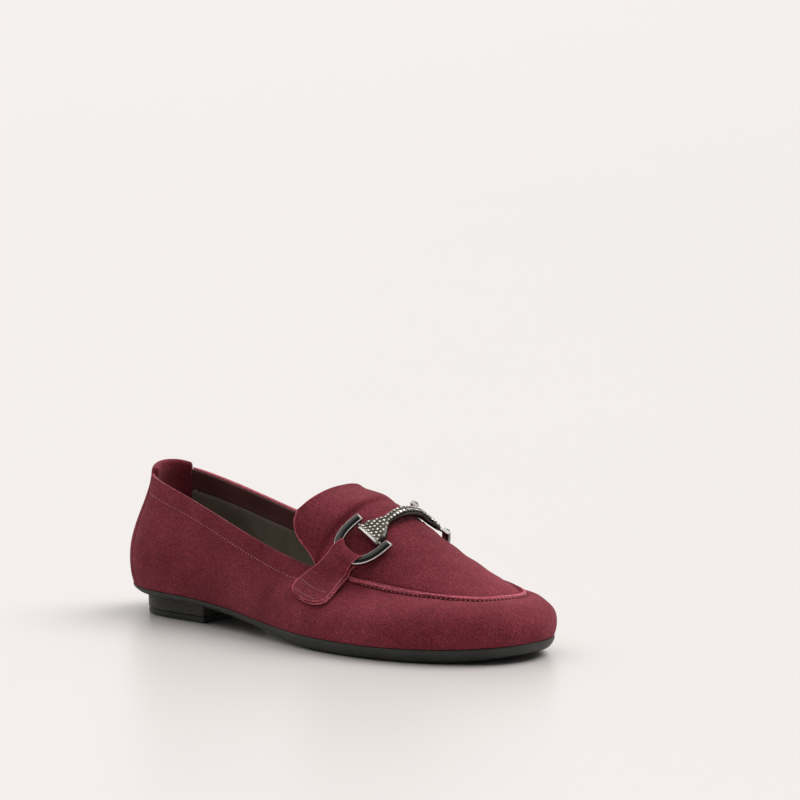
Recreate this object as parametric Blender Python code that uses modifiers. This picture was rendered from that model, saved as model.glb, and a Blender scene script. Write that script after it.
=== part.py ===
"""Snaffle-trimmed suede loafer, right shoe, as an assembly of separate pieces.

Frame: +X towards the toe, +Y towards the inner (medial) side, +Z up, metres.
The origin lies under the middle of the shoe's box, on the ground.
"""

import math

import bmesh
import bpy
import numpy as np
from mathutils import Vector
from mathutils.bvhtree import BVHTree

# ---------------------------------------------------------------- driving dimensions
SHIFT = np.array([0.0018, 0.0008, 0.0])   # last frame to shoe frame

SUEDE = 0.0013            # outer leather
LINING = 0.0008           # lining leather
STIFFENER = 0.0010        # heel counter and toe puff
GAP = 0.0003              # between touching pieces
SEAM_GAP = 0.0008         # each side of the apron seam
BOARD = 0.0016            # insole board
SOCK = 0.0030             # padded sock lining
MARGIN = 0.012            # lasting margin turned under the board
TAB_RISE = 0.0030         # how far the heel tab stands above the topline
TAB_RADIUS = 0.0020       # outside of the roll over the heel tab
FACING = 0.0110           # depth of the topline facing
TOP_PIECE = 0.0030        # heel top piece
BREAST_T = 3.55           # loop parameter of the heel's front face

# Height over the ground, by distance along the shoe: top and underside of the outsole.
FEATHER_X = (-0.125, -0.100, -0.066, -0.041, -0.016, 0.012, 0.045, 0.075, 0.098, 0.114, 0.125)
FEATHER_Z = (0.0145, 0.0140, 0.0130, 0.0110, 0.0085, 0.0070, 0.0065, 0.0066, 0.0072, 0.0082, 0.0092)
TREAD_X = (-0.125, -0.066, -0.041, -0.016, 0.004, 0.020, 0.050, 0.085, 0.104, 0.125)
TREAD_Z = (0.0105, 0.0094, 0.0070, 0.0040, 0.0015, 0.0002, 0.0, 0.0, 0.0012, 0.0042)

# The last, one row a station: plan point on the feather line, then the point straight
# across from it on the upper's top edge (topline behind, apron seam in front).
# The rows run from the centre back along the outer side to the toe, and back inside.
STATIONS = (
    (-0.1260, 0.0000, -0.1160, 0.0000, 0.0735),
    (-0.1210, -0.0160, -0.1122, -0.0120, 0.0723),
    (-0.1060, -0.0280, -0.1020, -0.0185, 0.0693),
    (-0.0800, -0.0305, -0.0800, -0.0215, 0.0636),
    (-0.0520, -0.0310, -0.0520, -0.0240, 0.0550),
    (-0.0220, -0.0355, -0.0240, -0.0260, 0.0462),
    (0.0100, -0.0425, 0.0040, -0.0275, 0.0392),
    (0.0420, -0.0450, 0.0320, -0.0275, 0.0350),
    (0.0720, -0.0405, 0.0620, -0.0240, 0.0313),
    (0.0970, -0.0290, 0.0860, -0.0175, 0.0295),
    (0.1155, -0.0130, 0.0980, -0.0070, 0.0283),
    (0.1232, 0.0070, 0.1020, 0.0080, 0.0275),
    (0.1190, 0.0255, 0.1025, 0.0220, 0.0270),
    (0.1040, 0.0375, 0.0920, 0.0300, 0.0283),
    (0.0770, 0.0425, 0.0660, 0.0325, 0.0320),
    (0.0450, 0.0415, 0.0360, 0.0315, 0.0365),
    (0.0120, 0.0355, 0.0080, 0.0285, 0.0415),
    (-0.0200, 0.0280, -0.0200, 0.0255, 0.0480),
    (-0.0520, 0.0265, -0.0500, 0.0230, 0.0560),
    (-0.0800, 0.0285, -0.0800, 0.0210, 0.0640),
    (-0.1060, 0.0270, -0.1020, 0.0180, 0.0695),
    (-0.1210, 0.0155, -0.1122, 0.0115, 0.0724),
)
LOOP = len(STATIONS)
TOE = LOOP / 2

# Wall section, by loop parameter from the heel (0) to the toe (11), same on both sides.
WALL_T = (0.0, 2.0, 4.5, 7.0, 9.0, 11.0)
BULGE = (0.0075, 0.0070, 0.0050, 0.0050, 0.0050, 0.0045)      # lower handle, outwards
BULGE_UP = (0.45, 0.45, 0.40, 0.55, 0.65, 0.65)               # its height, of the wall's
SHOULDER = (0.0000, 0.0020, 0.0030, 0.0060, 0.0100, 0.0110)   # upper handle, outwards
SHOULDER_DOWN = (0.30, 0.30, 0.35, 0.30, 0.02, -0.04)         # its drop, of the wall's

# Apron and tongue.
CORNER_T = 9.75           # loop parameter of the apron's rounded toe corner
SEAM_T = 6.35             # where the apron seam ends and the tongue's free edge begins
CREST_X = (0.098, 0.090, 0.080, 0.070, 0.060, 0.050, 0.040, 0.030, 0.020)
CREST_Z = (0.0295, 0.0345, 0.0398, 0.0448, 0.0498, 0.0550, 0.0604, 0.0652, 0.0688)
TONGUE_EDGE = ((0.0110, -0.0285, 0.0430), (0.0035, -0.0285, 0.0505),
               (-0.0005, -0.0270, 0.0575), (-0.0015, -0.0235, 0.0635))
TONGUE_CREST = ((0.0220, 0.0055, 0.0698), (0.0140, 0.0060, 0.0712),
                (0.0070, 0.0060, 0.0720), (0.0020, 0.0060, 0.0724))

parts = None
cutters = None


# ---------------------------------------------------------------- mathematics
def closed_curve(points, t):
    """Smooth closed curve through the points, at loop parameters t (one unit a point)."""
    points = np.asarray(points, float)
    count = len(points)
    ring = np.eye(count)
    system = 4 * ring + np.roll(ring, 1, 0) + np.roll(ring, -1, 0)
    slopes = np.linalg.solve(system, 3 * (np.roll(points, -1, 0) - np.roll(points, 1, 0)))
    t = np.asarray(t, float)
    first = np.floor(t).astype(int) % count
    second = (first + 1) % count
    u = (t - np.floor(t))[..., None]
    return ((1 + 2 * u) * (1 - u) ** 2 * points[first] + u * (1 - u) ** 2 * slopes[first]
            + u * u * (3 - 2 * u) * points[second] + u * u * (u - 1) * slopes[second])


def smooth_curve(points, count):
    """Points along a smooth open curve through the given ones, both ends included."""
    points = np.asarray(points, float)
    t = np.linspace(0, len(points) - 1, count)
    first = np.minimum(t.astype(int), len(points) - 2)
    slopes = np.gradient(points, axis=0)
    u = (t - first)[:, None]
    return ((1 + 2 * u) * (1 - u) ** 2 * points[first] + u * (1 - u) ** 2 * slopes[first]
            + u * u * (3 - 2 * u) * points[first + 1] + u * u * (u - 1) * slopes[first + 1])


def smooth_value(x, xs, ys):
    """Value of a smooth profile through (xs, ys); flat beyond its ends."""
    xs = np.asarray(xs, float)
    ys = np.asarray(ys, float)
    if xs[0] > xs[-1]:
        xs, ys = xs[::-1], ys[::-1]
    slopes = np.gradient(ys, xs)
    x = np.clip(np.asarray(x, float), xs[0], xs[-1])
    first = np.clip(np.searchsorted(xs, x) - 1, 0, len(xs) - 2)
    width = xs[first + 1] - xs[first]
    u = (x - xs[first]) / width
    return ((1 + 2 * u) * (1 - u) ** 2 * ys[first] + u * (1 - u) ** 2 * slopes[first] * width
            + u * u * (3 - 2 * u) * ys[first + 1] + u * u * (u - 1) * slopes[first + 1] * width)


def unit(vectors):
    vectors = np.asarray(vectors, float)
    return vectors / np.linalg.norm(vectors, axis=-1, keepdims=True)


def smoothstep(low, high, x):
    u = np.clip((np.asarray(x, float) - low) / (high - low), 0, 1)
    return u * u * (3 - 2 * u)


def side_parameter(t):
    """Distance from the heel in stations, the same on both sides."""
    t = np.mod(t, LOOP)
    return np.minimum(t, LOOP - t)


# ---------------------------------------------------------------- the last
def feather_height(x):
    return smooth_value(x, FEATHER_X, FEATHER_Z)


def tread_height(x):
    return np.maximum(smooth_value(x, TREAD_X, TREAD_Z), 0.0)


def plan(t):
    return closed_curve([row[:2] for row in STATIONS], t)


def plan_normal(t):
    """Outward direction in plan, square to the feather line."""
    step = 0.02
    along = plan(np.asarray(t) + step) - plan(np.asarray(t) - step)
    return unit(np.stack([along[..., 1], -along[..., 0]], -1))


def feather(t, inset=0.0, lift=0.0):
    """Point on the feather line, moved inwards in plan and up from the outsole's top."""
    flat = plan(t) - plan_normal(t) * inset
    return np.concatenate([flat, (feather_height(flat[..., 0]) + lift)[..., None]], -1)


def top_edge(t):
    return closed_curve([row[2:] for row in STATIONS], t)


def wall(t, v):
    """Outer face of the upper's wall: t around the shoe, v from feather (0) to top edge (1)."""
    t, v = np.broadcast_arrays(np.asarray(t, float), np.asarray(v, float))
    low = feather(t, lift=GAP)
    high = top_edge(t)
    side = side_parameter(t)
    out = np.concatenate([plan_normal(t), np.zeros(t.shape + (1,))], -1)
    rise = np.zeros(t.shape + (3,))
    rise[..., 2] = high[..., 2] - low[..., 2]
    low_handle = (low + out * smooth_value(side, WALL_T, BULGE)[..., None]
                  + rise * smooth_value(side, WALL_T, BULGE_UP)[..., None])
    high_handle = (high + out * smooth_value(side, WALL_T, SHOULDER)[..., None]
                   - rise * smooth_value(side, WALL_T, SHOULDER_DOWN)[..., None])
    v = v[..., None]
    return ((1 - v) ** 3 * low + 3 * v * (1 - v) ** 2 * low_handle
            + 3 * v * v * (1 - v) * high_handle + v ** 3 * high)


def wall_at(t, v, depth):
    """Point at a depth below the wall's outer face."""
    step = 0.01
    t, v = np.broadcast_arrays(np.asarray(t, float), np.asarray(v, float))
    around = wall(t + step, v) - wall(t - step, v)
    up = wall(t, np.minimum(v + step, 1)) - wall(t, np.maximum(v - step, 0))
    normal = unit(np.cross(around, up))
    return wall(t, v) - normal * np.asarray(depth)[..., None]


def wall_v(t, height):
    """The v at which the wall stands a given height above the feather line."""
    samples = np.linspace(0, 1, 41)
    found = []
    for one in np.atleast_1d(t):
        heights = wall(np.full(41, one), samples)[:, 2] - feather_height(plan(one)[0])
        found.append(np.interp(height, heights, samples))
    return np.array(found)


def lining_depth(t, v):
    """Depth of the lining's outer face: deeper where the counter and the puff lie."""
    side = side_parameter(t)
    heel = (1 - smoothstep(3.4, 4.6, side)) * (1 - smoothstep(0.72, 0.86, v))
    toe = smoothstep(7.6, 8.8, side)
    return SUEDE + GAP + (STIFFENER + GAP) * np.maximum(heel, toe)


def apron_rows(rows_seam, rows_tongue, columns):
    """Outer face of the apron and tongue: rows from the toe edge to the tongue's end."""
    phi = np.linspace(0, math.pi, columns)
    q = -np.cos(phi)
    blend = ((q + 1) / 2)[:, None]
    seam_t = np.linspace(CORNER_T, SEAM_T, rows_seam)
    near = top_edge(seam_t)
    far = top_edge(LOOP - seam_t)
    middle = (near[:, 0] + far[:, 0]) / 2
    forward = 0.009 * smoothstep(CORNER_T, SEAM_T, seam_t)
    crest = np.stack([middle + forward,
                      np.full(rows_seam, 0.0065),
                      smooth_value(middle + forward, CREST_X, CREST_Z)], -1)
    mirror = np.array([1, -1, 1])
    edge = smooth_curve([near[-1]] + list(np.array(TONGUE_EDGE)), rows_tongue + 1)[1:]
    ridge = smooth_curve([crest[-1]] + list(np.array(TONGUE_CREST)), rows_tongue + 1)[1:]
    other = smooth_curve([far[-1]] + [point * mirror + (0, 0.002, 0.001) for point in
                                      np.array(TONGUE_EDGE)], rows_tongue + 1)[1:]
    near = np.concatenate([near, edge])
    far = np.concatenate([far, other])
    crest = np.concatenate([crest, ridge])
    total = rows_seam + rows_tongue
    roundness = np.interp(np.arange(total), (0, rows_seam * 0.5, rows_seam - 1, total - 1),
                          (1.05, 1.45, 1.95, 1.55))
    fullness = np.interp(np.arange(total), (0, rows_seam - 1, total - 1), (2.0, 2.5, 2.5))
    front = top_edge(CORNER_T + (q + 1) / 2 * (LOOP - 2 * CORNER_T))
    bow = front - (near[0] * (1 - blend) + far[0] * blend)
    grid = []
    for k in range(total):
        base = near[k] * (1 - blend) + far[k] * blend
        skew = (crest[k][1] - (near[k][1] + far[k][1]) / 2) / ((far[k][1] - near[k][1]) / 2)
        at = np.clip(q - skew * (1 - q * q), -1, 1)
        bump = (1 - np.abs(at) ** fullness[k]) ** (1 / roundness[k])
        lift = crest[k] - (near[k] + far[k]) / 2
        row = base + bump[:, None] * np.array([lift[0], 0, lift[2]])
        fade = (1 - k / (rows_seam * 0.6)) ** 2 if k < rows_seam * 0.6 else 0
        grid.append(row + bow * fade)
    grid = np.array(grid)
    nearness = np.clip(1 - np.arange(total) / (rows_seam * 0.45), 0, 1) ** 2
    return grid + (front - grid[0]) * nearness[:, None, None]


# ---------------------------------------------------------------- mesh helpers
def material(name, colour, roughness, metallic=0.0):
    made = bpy.data.materials.get(name) or bpy.data.materials.new(name)
    made.use_nodes = True
    shader = made.node_tree.nodes["Principled BSDF"]
    shader.inputs["Base Color"].default_value = (*colour, 1)
    shader.inputs["Roughness"].default_value = roughness
    shader.inputs["Metallic"].default_value = metallic
    return made


def add_object(name, mesh, paint):
    made = bpy.data.objects.new(name, mesh)
    parts.objects.link(made)
    mesh.materials.append(paint)
    mesh.shade_smooth()
    mesh.set_sharp_from_angle(angle=math.radians(40))
    return made


def finish_mesh(bm, name):
    bmesh.ops.remove_doubles(bm, verts=bm.verts, dist=1e-6)
    bmesh.ops.dissolve_degenerate(bm, edges=bm.edges, dist=1e-7)
    bmesh.ops.recalc_face_normals(bm, faces=bm.faces)
    mesh = bpy.data.meshes.new(name)
    bm.to_mesh(mesh)
    bm.free()
    return mesh


def grid_bmesh(grid, closed=False):
    """Quads between the rows of a grid of points; closed joins the last row to the first."""
    bm = bmesh.new()
    rows = [[bm.verts.new(Vector(point + SHIFT)) for point in row] for row in grid]
    pairs = list(zip(rows, rows[1:] + (rows[:1] if closed else [])))
    for row, following in pairs[:len(rows) if closed else len(rows) - 1]:
        for k in range(len(row) - 1):
            bm.faces.new((row[k], row[k + 1], following[k + 1], following[k]))
    return bm


def sheet(name, grid, thickness, paint, closed=False, flip=False):
    """A leather layer: an open surface whose outer face is the grid, thickened inwards."""
    bm = grid_bmesh(grid, closed)
    if flip:
        bmesh.ops.reverse_faces(bm, faces=bm.faces)
    mesh = bpy.data.meshes.new(name)
    bm.to_mesh(mesh)
    bm.free()
    made = add_object(name, mesh, paint)
    solid = made.modifiers.new("thickness", "SOLIDIFY")
    solid.thickness = thickness
    solid.offset = -1
    solid.use_even_offset = False
    return made


def loft(name, sections, paint):
    """A closed solid through closed sections, with flat end caps."""
    bm = bmesh.new()
    rings = [[bm.verts.new(Vector(point + SHIFT)) for point in section] for section in sections]
    count = len(rings[0])
    for ring, following in zip(rings, rings[1:]):
        for k in range(count):
            bm.faces.new((ring[k], ring[(k + 1) % count], following[(k + 1) % count], following[k]))
    bm.faces.new(rings[0][::-1])
    bm.faces.new(rings[-1])
    return add_object(name, finish_mesh(bm, name), paint)


def spun(name, profile, sides, at, paint, collection=None):
    """A turned solid about Z from (radius, height) pairs, top to bottom, placed at a point."""
    bm = bmesh.new()
    verts = [bm.verts.new((radius, 0, height)) for radius, height in profile]
    for first, second in zip(verts, verts[1:]):
        bm.edges.new((first, second))
    mesh = bpy.data.meshes.new(name)
    bm.to_mesh(mesh)
    bm.free()
    made = add_object(name, mesh, paint)
    made.location = Vector(np.asarray(at) + SHIFT)
    turn = made.modifiers.new("turn", "SCREW")
    turn.steps = turn.render_steps = sides
    turn.use_merge_vertices = True
    turn.merge_threshold = 0.00005
    if collection:
        parts.objects.unlink(made)
        collection.objects.link(made)
        made.hide_render = True
        made.display_type = "WIRE"
    return made


def cut(target, cutter):
    hole = target.modifiers.new("hole", "BOOLEAN")
    hole.operation = "DIFFERENCE"
    hole.object = cutter


def surface_tree(grids):
    """Ray-casting tree over grids of points, in last coordinates."""
    verts, faces = [], []
    for grid in grids:
        base = len(verts)
        rows, columns = grid.shape[:2]
        verts += [Vector(point) for point in grid.reshape(-1, 3)]
        for i in range(rows - 1):
            for k in range(columns - 1):
                corner = base + i * columns + k
                faces.append((corner, corner + 1, corner + columns + 1, corner + columns))
    return BVHTree.FromPolygons(verts, faces)


# ---------------------------------------------------------------- bottom
SUEDE_PAINT = ("suede", (0.16, 0.018, 0.032), 0.95)
RUBBER_PAINT = ("rubber", (0.012, 0.013, 0.012), 0.6)


def sole_sections(start, stop, count, insets, heights, tuck=()):
    """Cross-sections of a bottom layer: insets and heights run from its top to its base.

    tuck is how much further in each level lies at the very back of the heel.
    """
    tuck = tuck or (0,) * len(insets)
    sections = []
    for t in np.linspace(start, stop, count):
        back = float(1 - smoothstep(0.3, 2.6, t))
        levels = [(inset + back * more, height) for inset, more, height in zip(insets, tuck, heights)]
        near = [(feather(t, inset), height) for inset, height in levels]
        far = [(feather(LOOP - t, inset), height) for inset, height in levels]
        section = [(*point[:2], height(point[0])) for point, height in near[::-1] + far]
        sections.append(np.array(section))
    return sections


def lifted(lift):
    return lambda x: float(feather_height(x)) + lift


def trodden(lift):
    return lambda x: float(tread_height(x)) + lift


def bottom_pieces():
    end = 0.25
    middle = lambda x: 0.6 * float(feather_height(x)) + 0.4 * float(tread_height(x))
    low = lambda x: 0.2 * float(feather_height(x)) + 0.8 * float(tread_height(x))
    rubber = material(*RUBBER_PAINT)
    outsole = loft("outsole", sole_sections(end, TOE - end, 40, (-0.0004, 0.0004, 0.0018, 0.0040),
                   (lifted(0), middle, low, trodden(0)), (0.0004, 0.0016, 0.0034, 0.0042)), rubber)
    base = TOP_PIECE + GAP
    block = loft("heel_block", sole_sections(end, BREAST_T, 12, (0.0054, 0.0058),
                 (trodden(-GAP), lambda x: base), (0.0042, 0.0042)), rubber)
    loft("heel_top_piece", sole_sections(end, BREAST_T, 12, (0.0058, 0.0058, 0.0063),
         (lambda x: TOP_PIECE, lambda x: 0.0006, lambda x: 0.0), (0.0042,) * 3), rubber)
    board_lift = GAP + SUEDE + GAP
    board = loft("insole_board", sole_sections(end, TOE - end, 34, (0.0024, 0.0024),
                 (lifted(board_lift + BOARD), lifted(board_lift))),
                 material("board", (0.35, 0.24, 0.15), 0.9))
    sock_lift = board_lift + BOARD + GAP
    loft("sock_lining", sole_sections(end, TOE - end, 34, (0.0044, 0.0040, 0.0044),
         (lifted(sock_lift + SOCK), lifted(sock_lift + SOCK * 0.6), lifted(sock_lift))),
         material("lining", (0.10, 0.085, 0.07), 0.85))
    loft("forefoot_filler", sole_sections(6.4, TOE - 0.5, 18, (MARGIN + 0.0015,) * 2,
         (lifted(GAP + SUEDE), lifted(GAP))), material("cork", (0.45, 0.28, 0.14), 0.9))
    shank()
    heel_nails((outsole, block, board))


def shank():
    """Steel stiffener lying lengthwise between the outsole and the insole board."""
    half = 0.006
    sections = []
    for x in np.linspace(-0.096, 0.006, 14):
        low = float(feather_height(x)) + GAP
        high = low + 0.0012
        shape = [(-half, low), (half, low), (half * 0.8, high), (-half * 0.8, high)]
        sections.append(np.array([(x, y, z) for y, z in shape]))
    loft("shank", sections, material("steel", (0.4, 0.4, 0.4), 0.4, 1.0))


def heel_nails(pierced):
    """Nails driven from inside through board, outsole and heel block."""
    steel = material("steel", (0.4, 0.4, 0.4), 0.4, 1.0)
    places = ((-0.108, 0.0), (-0.092, -0.0150), (-0.092, 0.0145),
              (-0.076, -0.0155), (-0.076, 0.0145))
    shaft, head, length = 0.0009, 0.0019, 0.0115
    for number, (x, y) in enumerate(places, 1):
        top = float(feather_height(x)) + GAP + SUEDE + GAP + BOARD - 0.0002
        profile = ((0, 0), (head, 0), (head, -0.0007), (shaft, -0.0012), (shaft, -length), (0, -length))
        spun("heel_nail_%d" % number, profile, 10, (x, y, top), steel)
        wide, room = 0.0004, 0.0005
        hollow = ((0, 0.004), (head + wide, 0.004), (head + wide, -0.0007 - wide),
                  (shaft + wide, -0.0012 - wide), (shaft + wide, -length - room), (0, -length - room))
        hole = spun("heel_nail_hole_%d" % number, hollow, 10, (x, y, top), steel, cutters)
        for piece in pierced:
            cut(piece, hole)


# ---------------------------------------------------------------- upper
def back_seam(v):
    """Loop parameter of the seam between the side wall and the heel's back strip."""
    return 1.85 - 0.40 * np.asarray(v)


def margin_columns(t):
    """The lasting margin, from its inner edge out to just inside the feather line."""
    return [feather(t, inset, GAP) for inset in (MARGIN, MARGIN * 0.5, 0.0014)]


def pulled_back(grid, column, neighbour, distance):
    """Moves one edge column of a grid towards its neighbour by a distance."""
    grid[:, column] += unit(grid[:, neighbour] - grid[:, column]) * distance


def skirt_grid(rows, columns):
    grid = []
    for share in np.linspace(0, 1, rows):
        line = []
        seam = back_seam(0) + 0.03
        t = seam + share * (LOOP - 2 * seam)
        line += margin_columns(np.array(t))
        for v in np.linspace(0, 1, columns):
            seam = back_seam(v) + 0.03
            line.append(wall(seam + share * (LOOP - 2 * seam), v))
        grid.append(line)
    grid = np.array(grid)
    pulled_back(grid, -1, -2, SEAM_GAP)
    return grid


def wall_layer(name, start, stop, rows, low, high, columns, depth, thickness, paint, closed=False):
    """A layer below the wall's outer face; low and high give its edges' v for each t."""
    ts = np.linspace(start, stop, rows)
    lows, highs = low(ts), high(ts)
    share = np.linspace(0, 1, columns)
    vs = lows[:, None] + (highs - lows)[:, None] * share
    tt = np.repeat(ts[:, None], columns, 1)
    return sheet(name, wall_at(tt, vs, depth(tt, vs)), thickness, paint, closed, flip=True)


def facing_v(ts):
    """Lower edge of the facing band."""
    return np.array([
        wall_v(one, top_edge(one)[2] - feather_height(plan(one)[0]) - FACING)[0] for one in ts])


def back_strip():
    """Heel strip: lasted under, up the back, over the topline as a tab, and down inside."""
    suede = material(*SUEDE_PAINT)
    radius = TAB_RADIUS
    grid = []
    for share in np.linspace(-1, 1, 15):
        t = share * (back_seam(0) - 0.03)
        line = margin_columns(np.array(t))
        for v in np.linspace(0, 1, 9):
            line.append(wall(share * (back_seam(v) - 0.03), v))
        t = share * (back_seam(1) - 0.03)
        top = wall(t, 1.0)
        up = unit(top - wall(t, 0.93))
        inwards = unit(wall_at(t, 0.98, 0.001) - wall(t, 0.98))
        centre = top + up * (TAB_RISE - radius) + inwards * radius
        for angle in np.linspace(0, math.pi, 6):
            line.append(centre - inwards * radius * math.cos(angle) + up * radius * math.sin(angle))
        bottom = wall_v(np.array([t]), 0.0085)[0]
        for v in np.linspace(0.96, bottom, 8):
            depth = lining_depth(t, v) + LINING + GAP + SUEDE
            line.append(wall_at(t, v, depth))
        grid.append(line)
    sheet("back_strip", np.array(grid), SUEDE, suede, flip=True)


def upper_pieces(apron):
    suede = material(*SUEDE_PAINT)
    lining = material("lining", (0.10, 0.085, 0.07), 0.85)
    stiff = material("stiffener", (0.55, 0.45, 0.33), 0.8)
    facing = material("facing", (0.05, 0.015, 0.018), 0.8)
    sheet("skirt", skirt_grid(76, 10), SUEDE, suede, flip=True)
    back_strip()
    foot = lambda ts: wall_v(ts, 0.0042)
    behind = lambda ts: facing_v(ts) - 0.012
    flush = lambda value: (lambda ts: np.full(len(ts), value))
    under = lambda t, v: np.full(np.shape(t), SUEDE + GAP)
    wall_layer("heel_counter", -3.2, 3.2, 27, foot, flush(0.70), 6, under, STIFFENER, stiff)
    wall_layer("toe_puff", 8.9, LOOP - 8.9, 17, foot, flush(0.90), 5, under, STIFFENER, stiff)
    wall_layer("quarter_lining_lateral", 0.02, 5.9, 22, foot, behind, 7, lining_depth, LINING, lining)
    wall_layer("quarter_lining_medial", LOOP - 5.9, LOOP - 0.02, 22, foot, behind, 7, lining_depth,
               LINING, lining)
    wall_layer("vamp_lining", 5.95, LOOP - 5.95, 30, foot, flush(0.95), 6, lining_depth, LINING, lining)
    wall_layer("topline_facing", -5.9, 5.9, 44, facing_v, flush(0.992), 3, lining_depth, LINING, facing)
    sheet("apron", apron, SUEDE, suede)
    normals = unit(np.cross(np.gradient(apron, axis=1), np.gradient(apron, axis=0)))
    inner = (apron - normals * (SUEDE + GAP))[1:, 2:-2]
    sheet("apron_lining", inner, LINING, lining)


# ---------------------------------------------------------------- bit and straps
BAND = 0.0046             # ring band width
BAND_THICK = 0.0024
RING_HALF = 0.0135        # ring, half its outer length
RING_DEEP = 0.0185        # ring, from its pin to the far side of the band
ROUND = 0.8               # 1 for an elliptical ring, less for squarer corners
RING_TURN = 0.06          # slope of the ring, rear end away from the upper
RING_CLOSE = 0.16         # angle by which the ring's arms run on past its pin
PIN = 0.0008              # hinge pin radius
BARREL = {-1: (0.0380, 0.0530), 1: (0.0400, 0.0545)}    # ring pin, along and up
FOOT_LIFT = {-1: 0.0054, 1: 0.0058}                     # ring band over the upper
PIN_LIFT = {-1: 0.0033, 1: 0.0036}                      # ring pin over the upper
RING_FOOT = {-1: (0.0320, 0.0430), 1: (0.0340, 0.0455)}   # under the ring's far side
STRAP_END = {-1: (0.0170, 0.0234), 1: (0.0200, 0.0265)}   # middle of the strap's sewn end
BAR_TIP = 0.0018          # how far the bar's ends run on past the pins
STRAP_WIDE, STRAP_NARROW = 0.0125, 0.0072               # half widths
STRAP_THICK = 0.0012
STRAP_CLEAR = 0.0012      # strap over the upper
STRAP_SPLIT = 0.0104      # from the fold to the top of the sewn tab
SPLIT_GAP = 0.0034        # from there up to the end of the loop's outer layer
LOOP_SPAN = (-0.76, 0.62)   # the loop's rear and front edges, in half widths


class Side:
    """Frame of one side's ring: its pin, and the along, up and outward directions."""

    def __init__(self, tree, sign):
        self.tree, self.sign = tree, sign
        foot = self.lifted(RING_FOOT[sign], FOOT_LIFT[sign])
        self.pin = self.lifted(BARREL[sign], PIN_LIFT[sign])
        self.up = unit(self.pin - foot)
        along = np.array([0.85, 0.0, -0.53])
        along = unit(along - self.up * np.dot(along, self.up))
        out = np.cross(along, self.up)
        out = out * np.sign(out[1]) * sign
        self.along = unit(along + out * RING_TURN)
        self.out = unit(out - along * RING_TURN)
        self.fold = self.pin - self.up * (RING_DEEP - BAND / 2)

    def under(self, place):
        """Point of the upper's side at an along and up place, and the direction square off it.

        Over the open notch between tongue and topline it carries on from the topline.
        """
        for step in range(12):
            start = Vector((place[0], self.sign * 0.2, place[1] - step * 0.001))
            hit, normal, _, _ = self.tree.ray_cast(start, Vector((0, -self.sign, 0)))
            if hit and hit[1] * self.sign > 0.012:
                break
        normal = np.array(normal)
        return np.array((place[0], hit[1], place[1])), normal * np.sign(normal[1]) * self.sign

    def lifted(self, place, lift):
        foot, normal = self.under(place)
        return foot + normal * lift

    def at(self, along, up, out):
        return self.pin + self.along * along + self.up * up + self.out * out


def swept(name, path, across, outward, outline, paint):
    """A bar through the path whose section is the outline of (across, outward) pairs."""
    sections = [np.array([point + side * a + out * b for a, b in outline])
                for point, side, out in zip(path, across, outward)]
    return loft(name, sections, paint)


def ring_drop(along):
    """How far the middle of the band lies below the pin, and its slope there."""
    half, deep = RING_HALF - BAND / 2, RING_DEEP - BAND / 2
    part = (abs(along) / half) ** (2 / ROUND)
    drop = deep * (1 - part) ** (ROUND / 2)
    return drop, drop / (1 - part) * part / max(abs(along), 1e-6)


def ring_path(side, count, inset):
    """Centre line of the C-shaped ring, and the direction across the band at each point."""
    half, deep = RING_HALF - inset, RING_DEEP - inset
    path = []
    for angle in np.linspace(-RING_CLOSE, math.pi + RING_CLOSE, count):
        c, s = math.cos(angle), math.sin(angle)
        path.append(side.at(half * math.copysign(abs(c) ** ROUND, c),
                            -deep * math.copysign(abs(s) ** ROUND, s), 0))
    along = unit(np.gradient(np.array(path), axis=0))
    return path, unit(np.cross(along, side.out))


def ring(side, label):
    steel = material("gunmetal", (0.12, 0.12, 0.12), 0.2, 1.0)
    enamel = material("enamel", (0.004, 0.004, 0.004), 0.08)
    path, across = ring_path(side, 34, BAND / 2)
    out = [side.out] * len(path)
    w, t, edge, groove, deep = BAND / 2, BAND_THICK / 2, 0.0005, 0.0014, 0.0005
    outline = ((-w, -t + edge), (-w + edge, -t), (w - edge, -t), (w, -t + edge), (w, t - edge),
               (w - edge, t), (groove, t), (groove, t - deep), (-groove, t - deep), (-groove, t),
               (-w + edge, t), (-w, t - edge))
    swept("ring_" + label, path, across, out, outline, steel)
    g, low = groove - GAP, t - deep + GAP
    inlay = ((-g, low), (g, low), (g, t), (0, t + 0.0002), (-g, t))
    swept("ring_enamel_" + label, path[1:-1], across[1:-1], out[1:-1], inlay, enamel)


def hinge_pin(side, label):
    """Pin that joins the ring's two ends through the bar's barrel."""
    half = RING_HALF - BAND - 0.0006
    angles = np.arange(12) * math.tau / 12
    sections = [np.array([side.at(a, PIN * math.cos(g), PIN * math.sin(g)) for g in angles])
                for a in (-half, half)]
    return loft("ring_pin_" + label, sections, material("gunmetal", (0.12, 0.12, 0.12), 0.2, 1.0))


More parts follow.
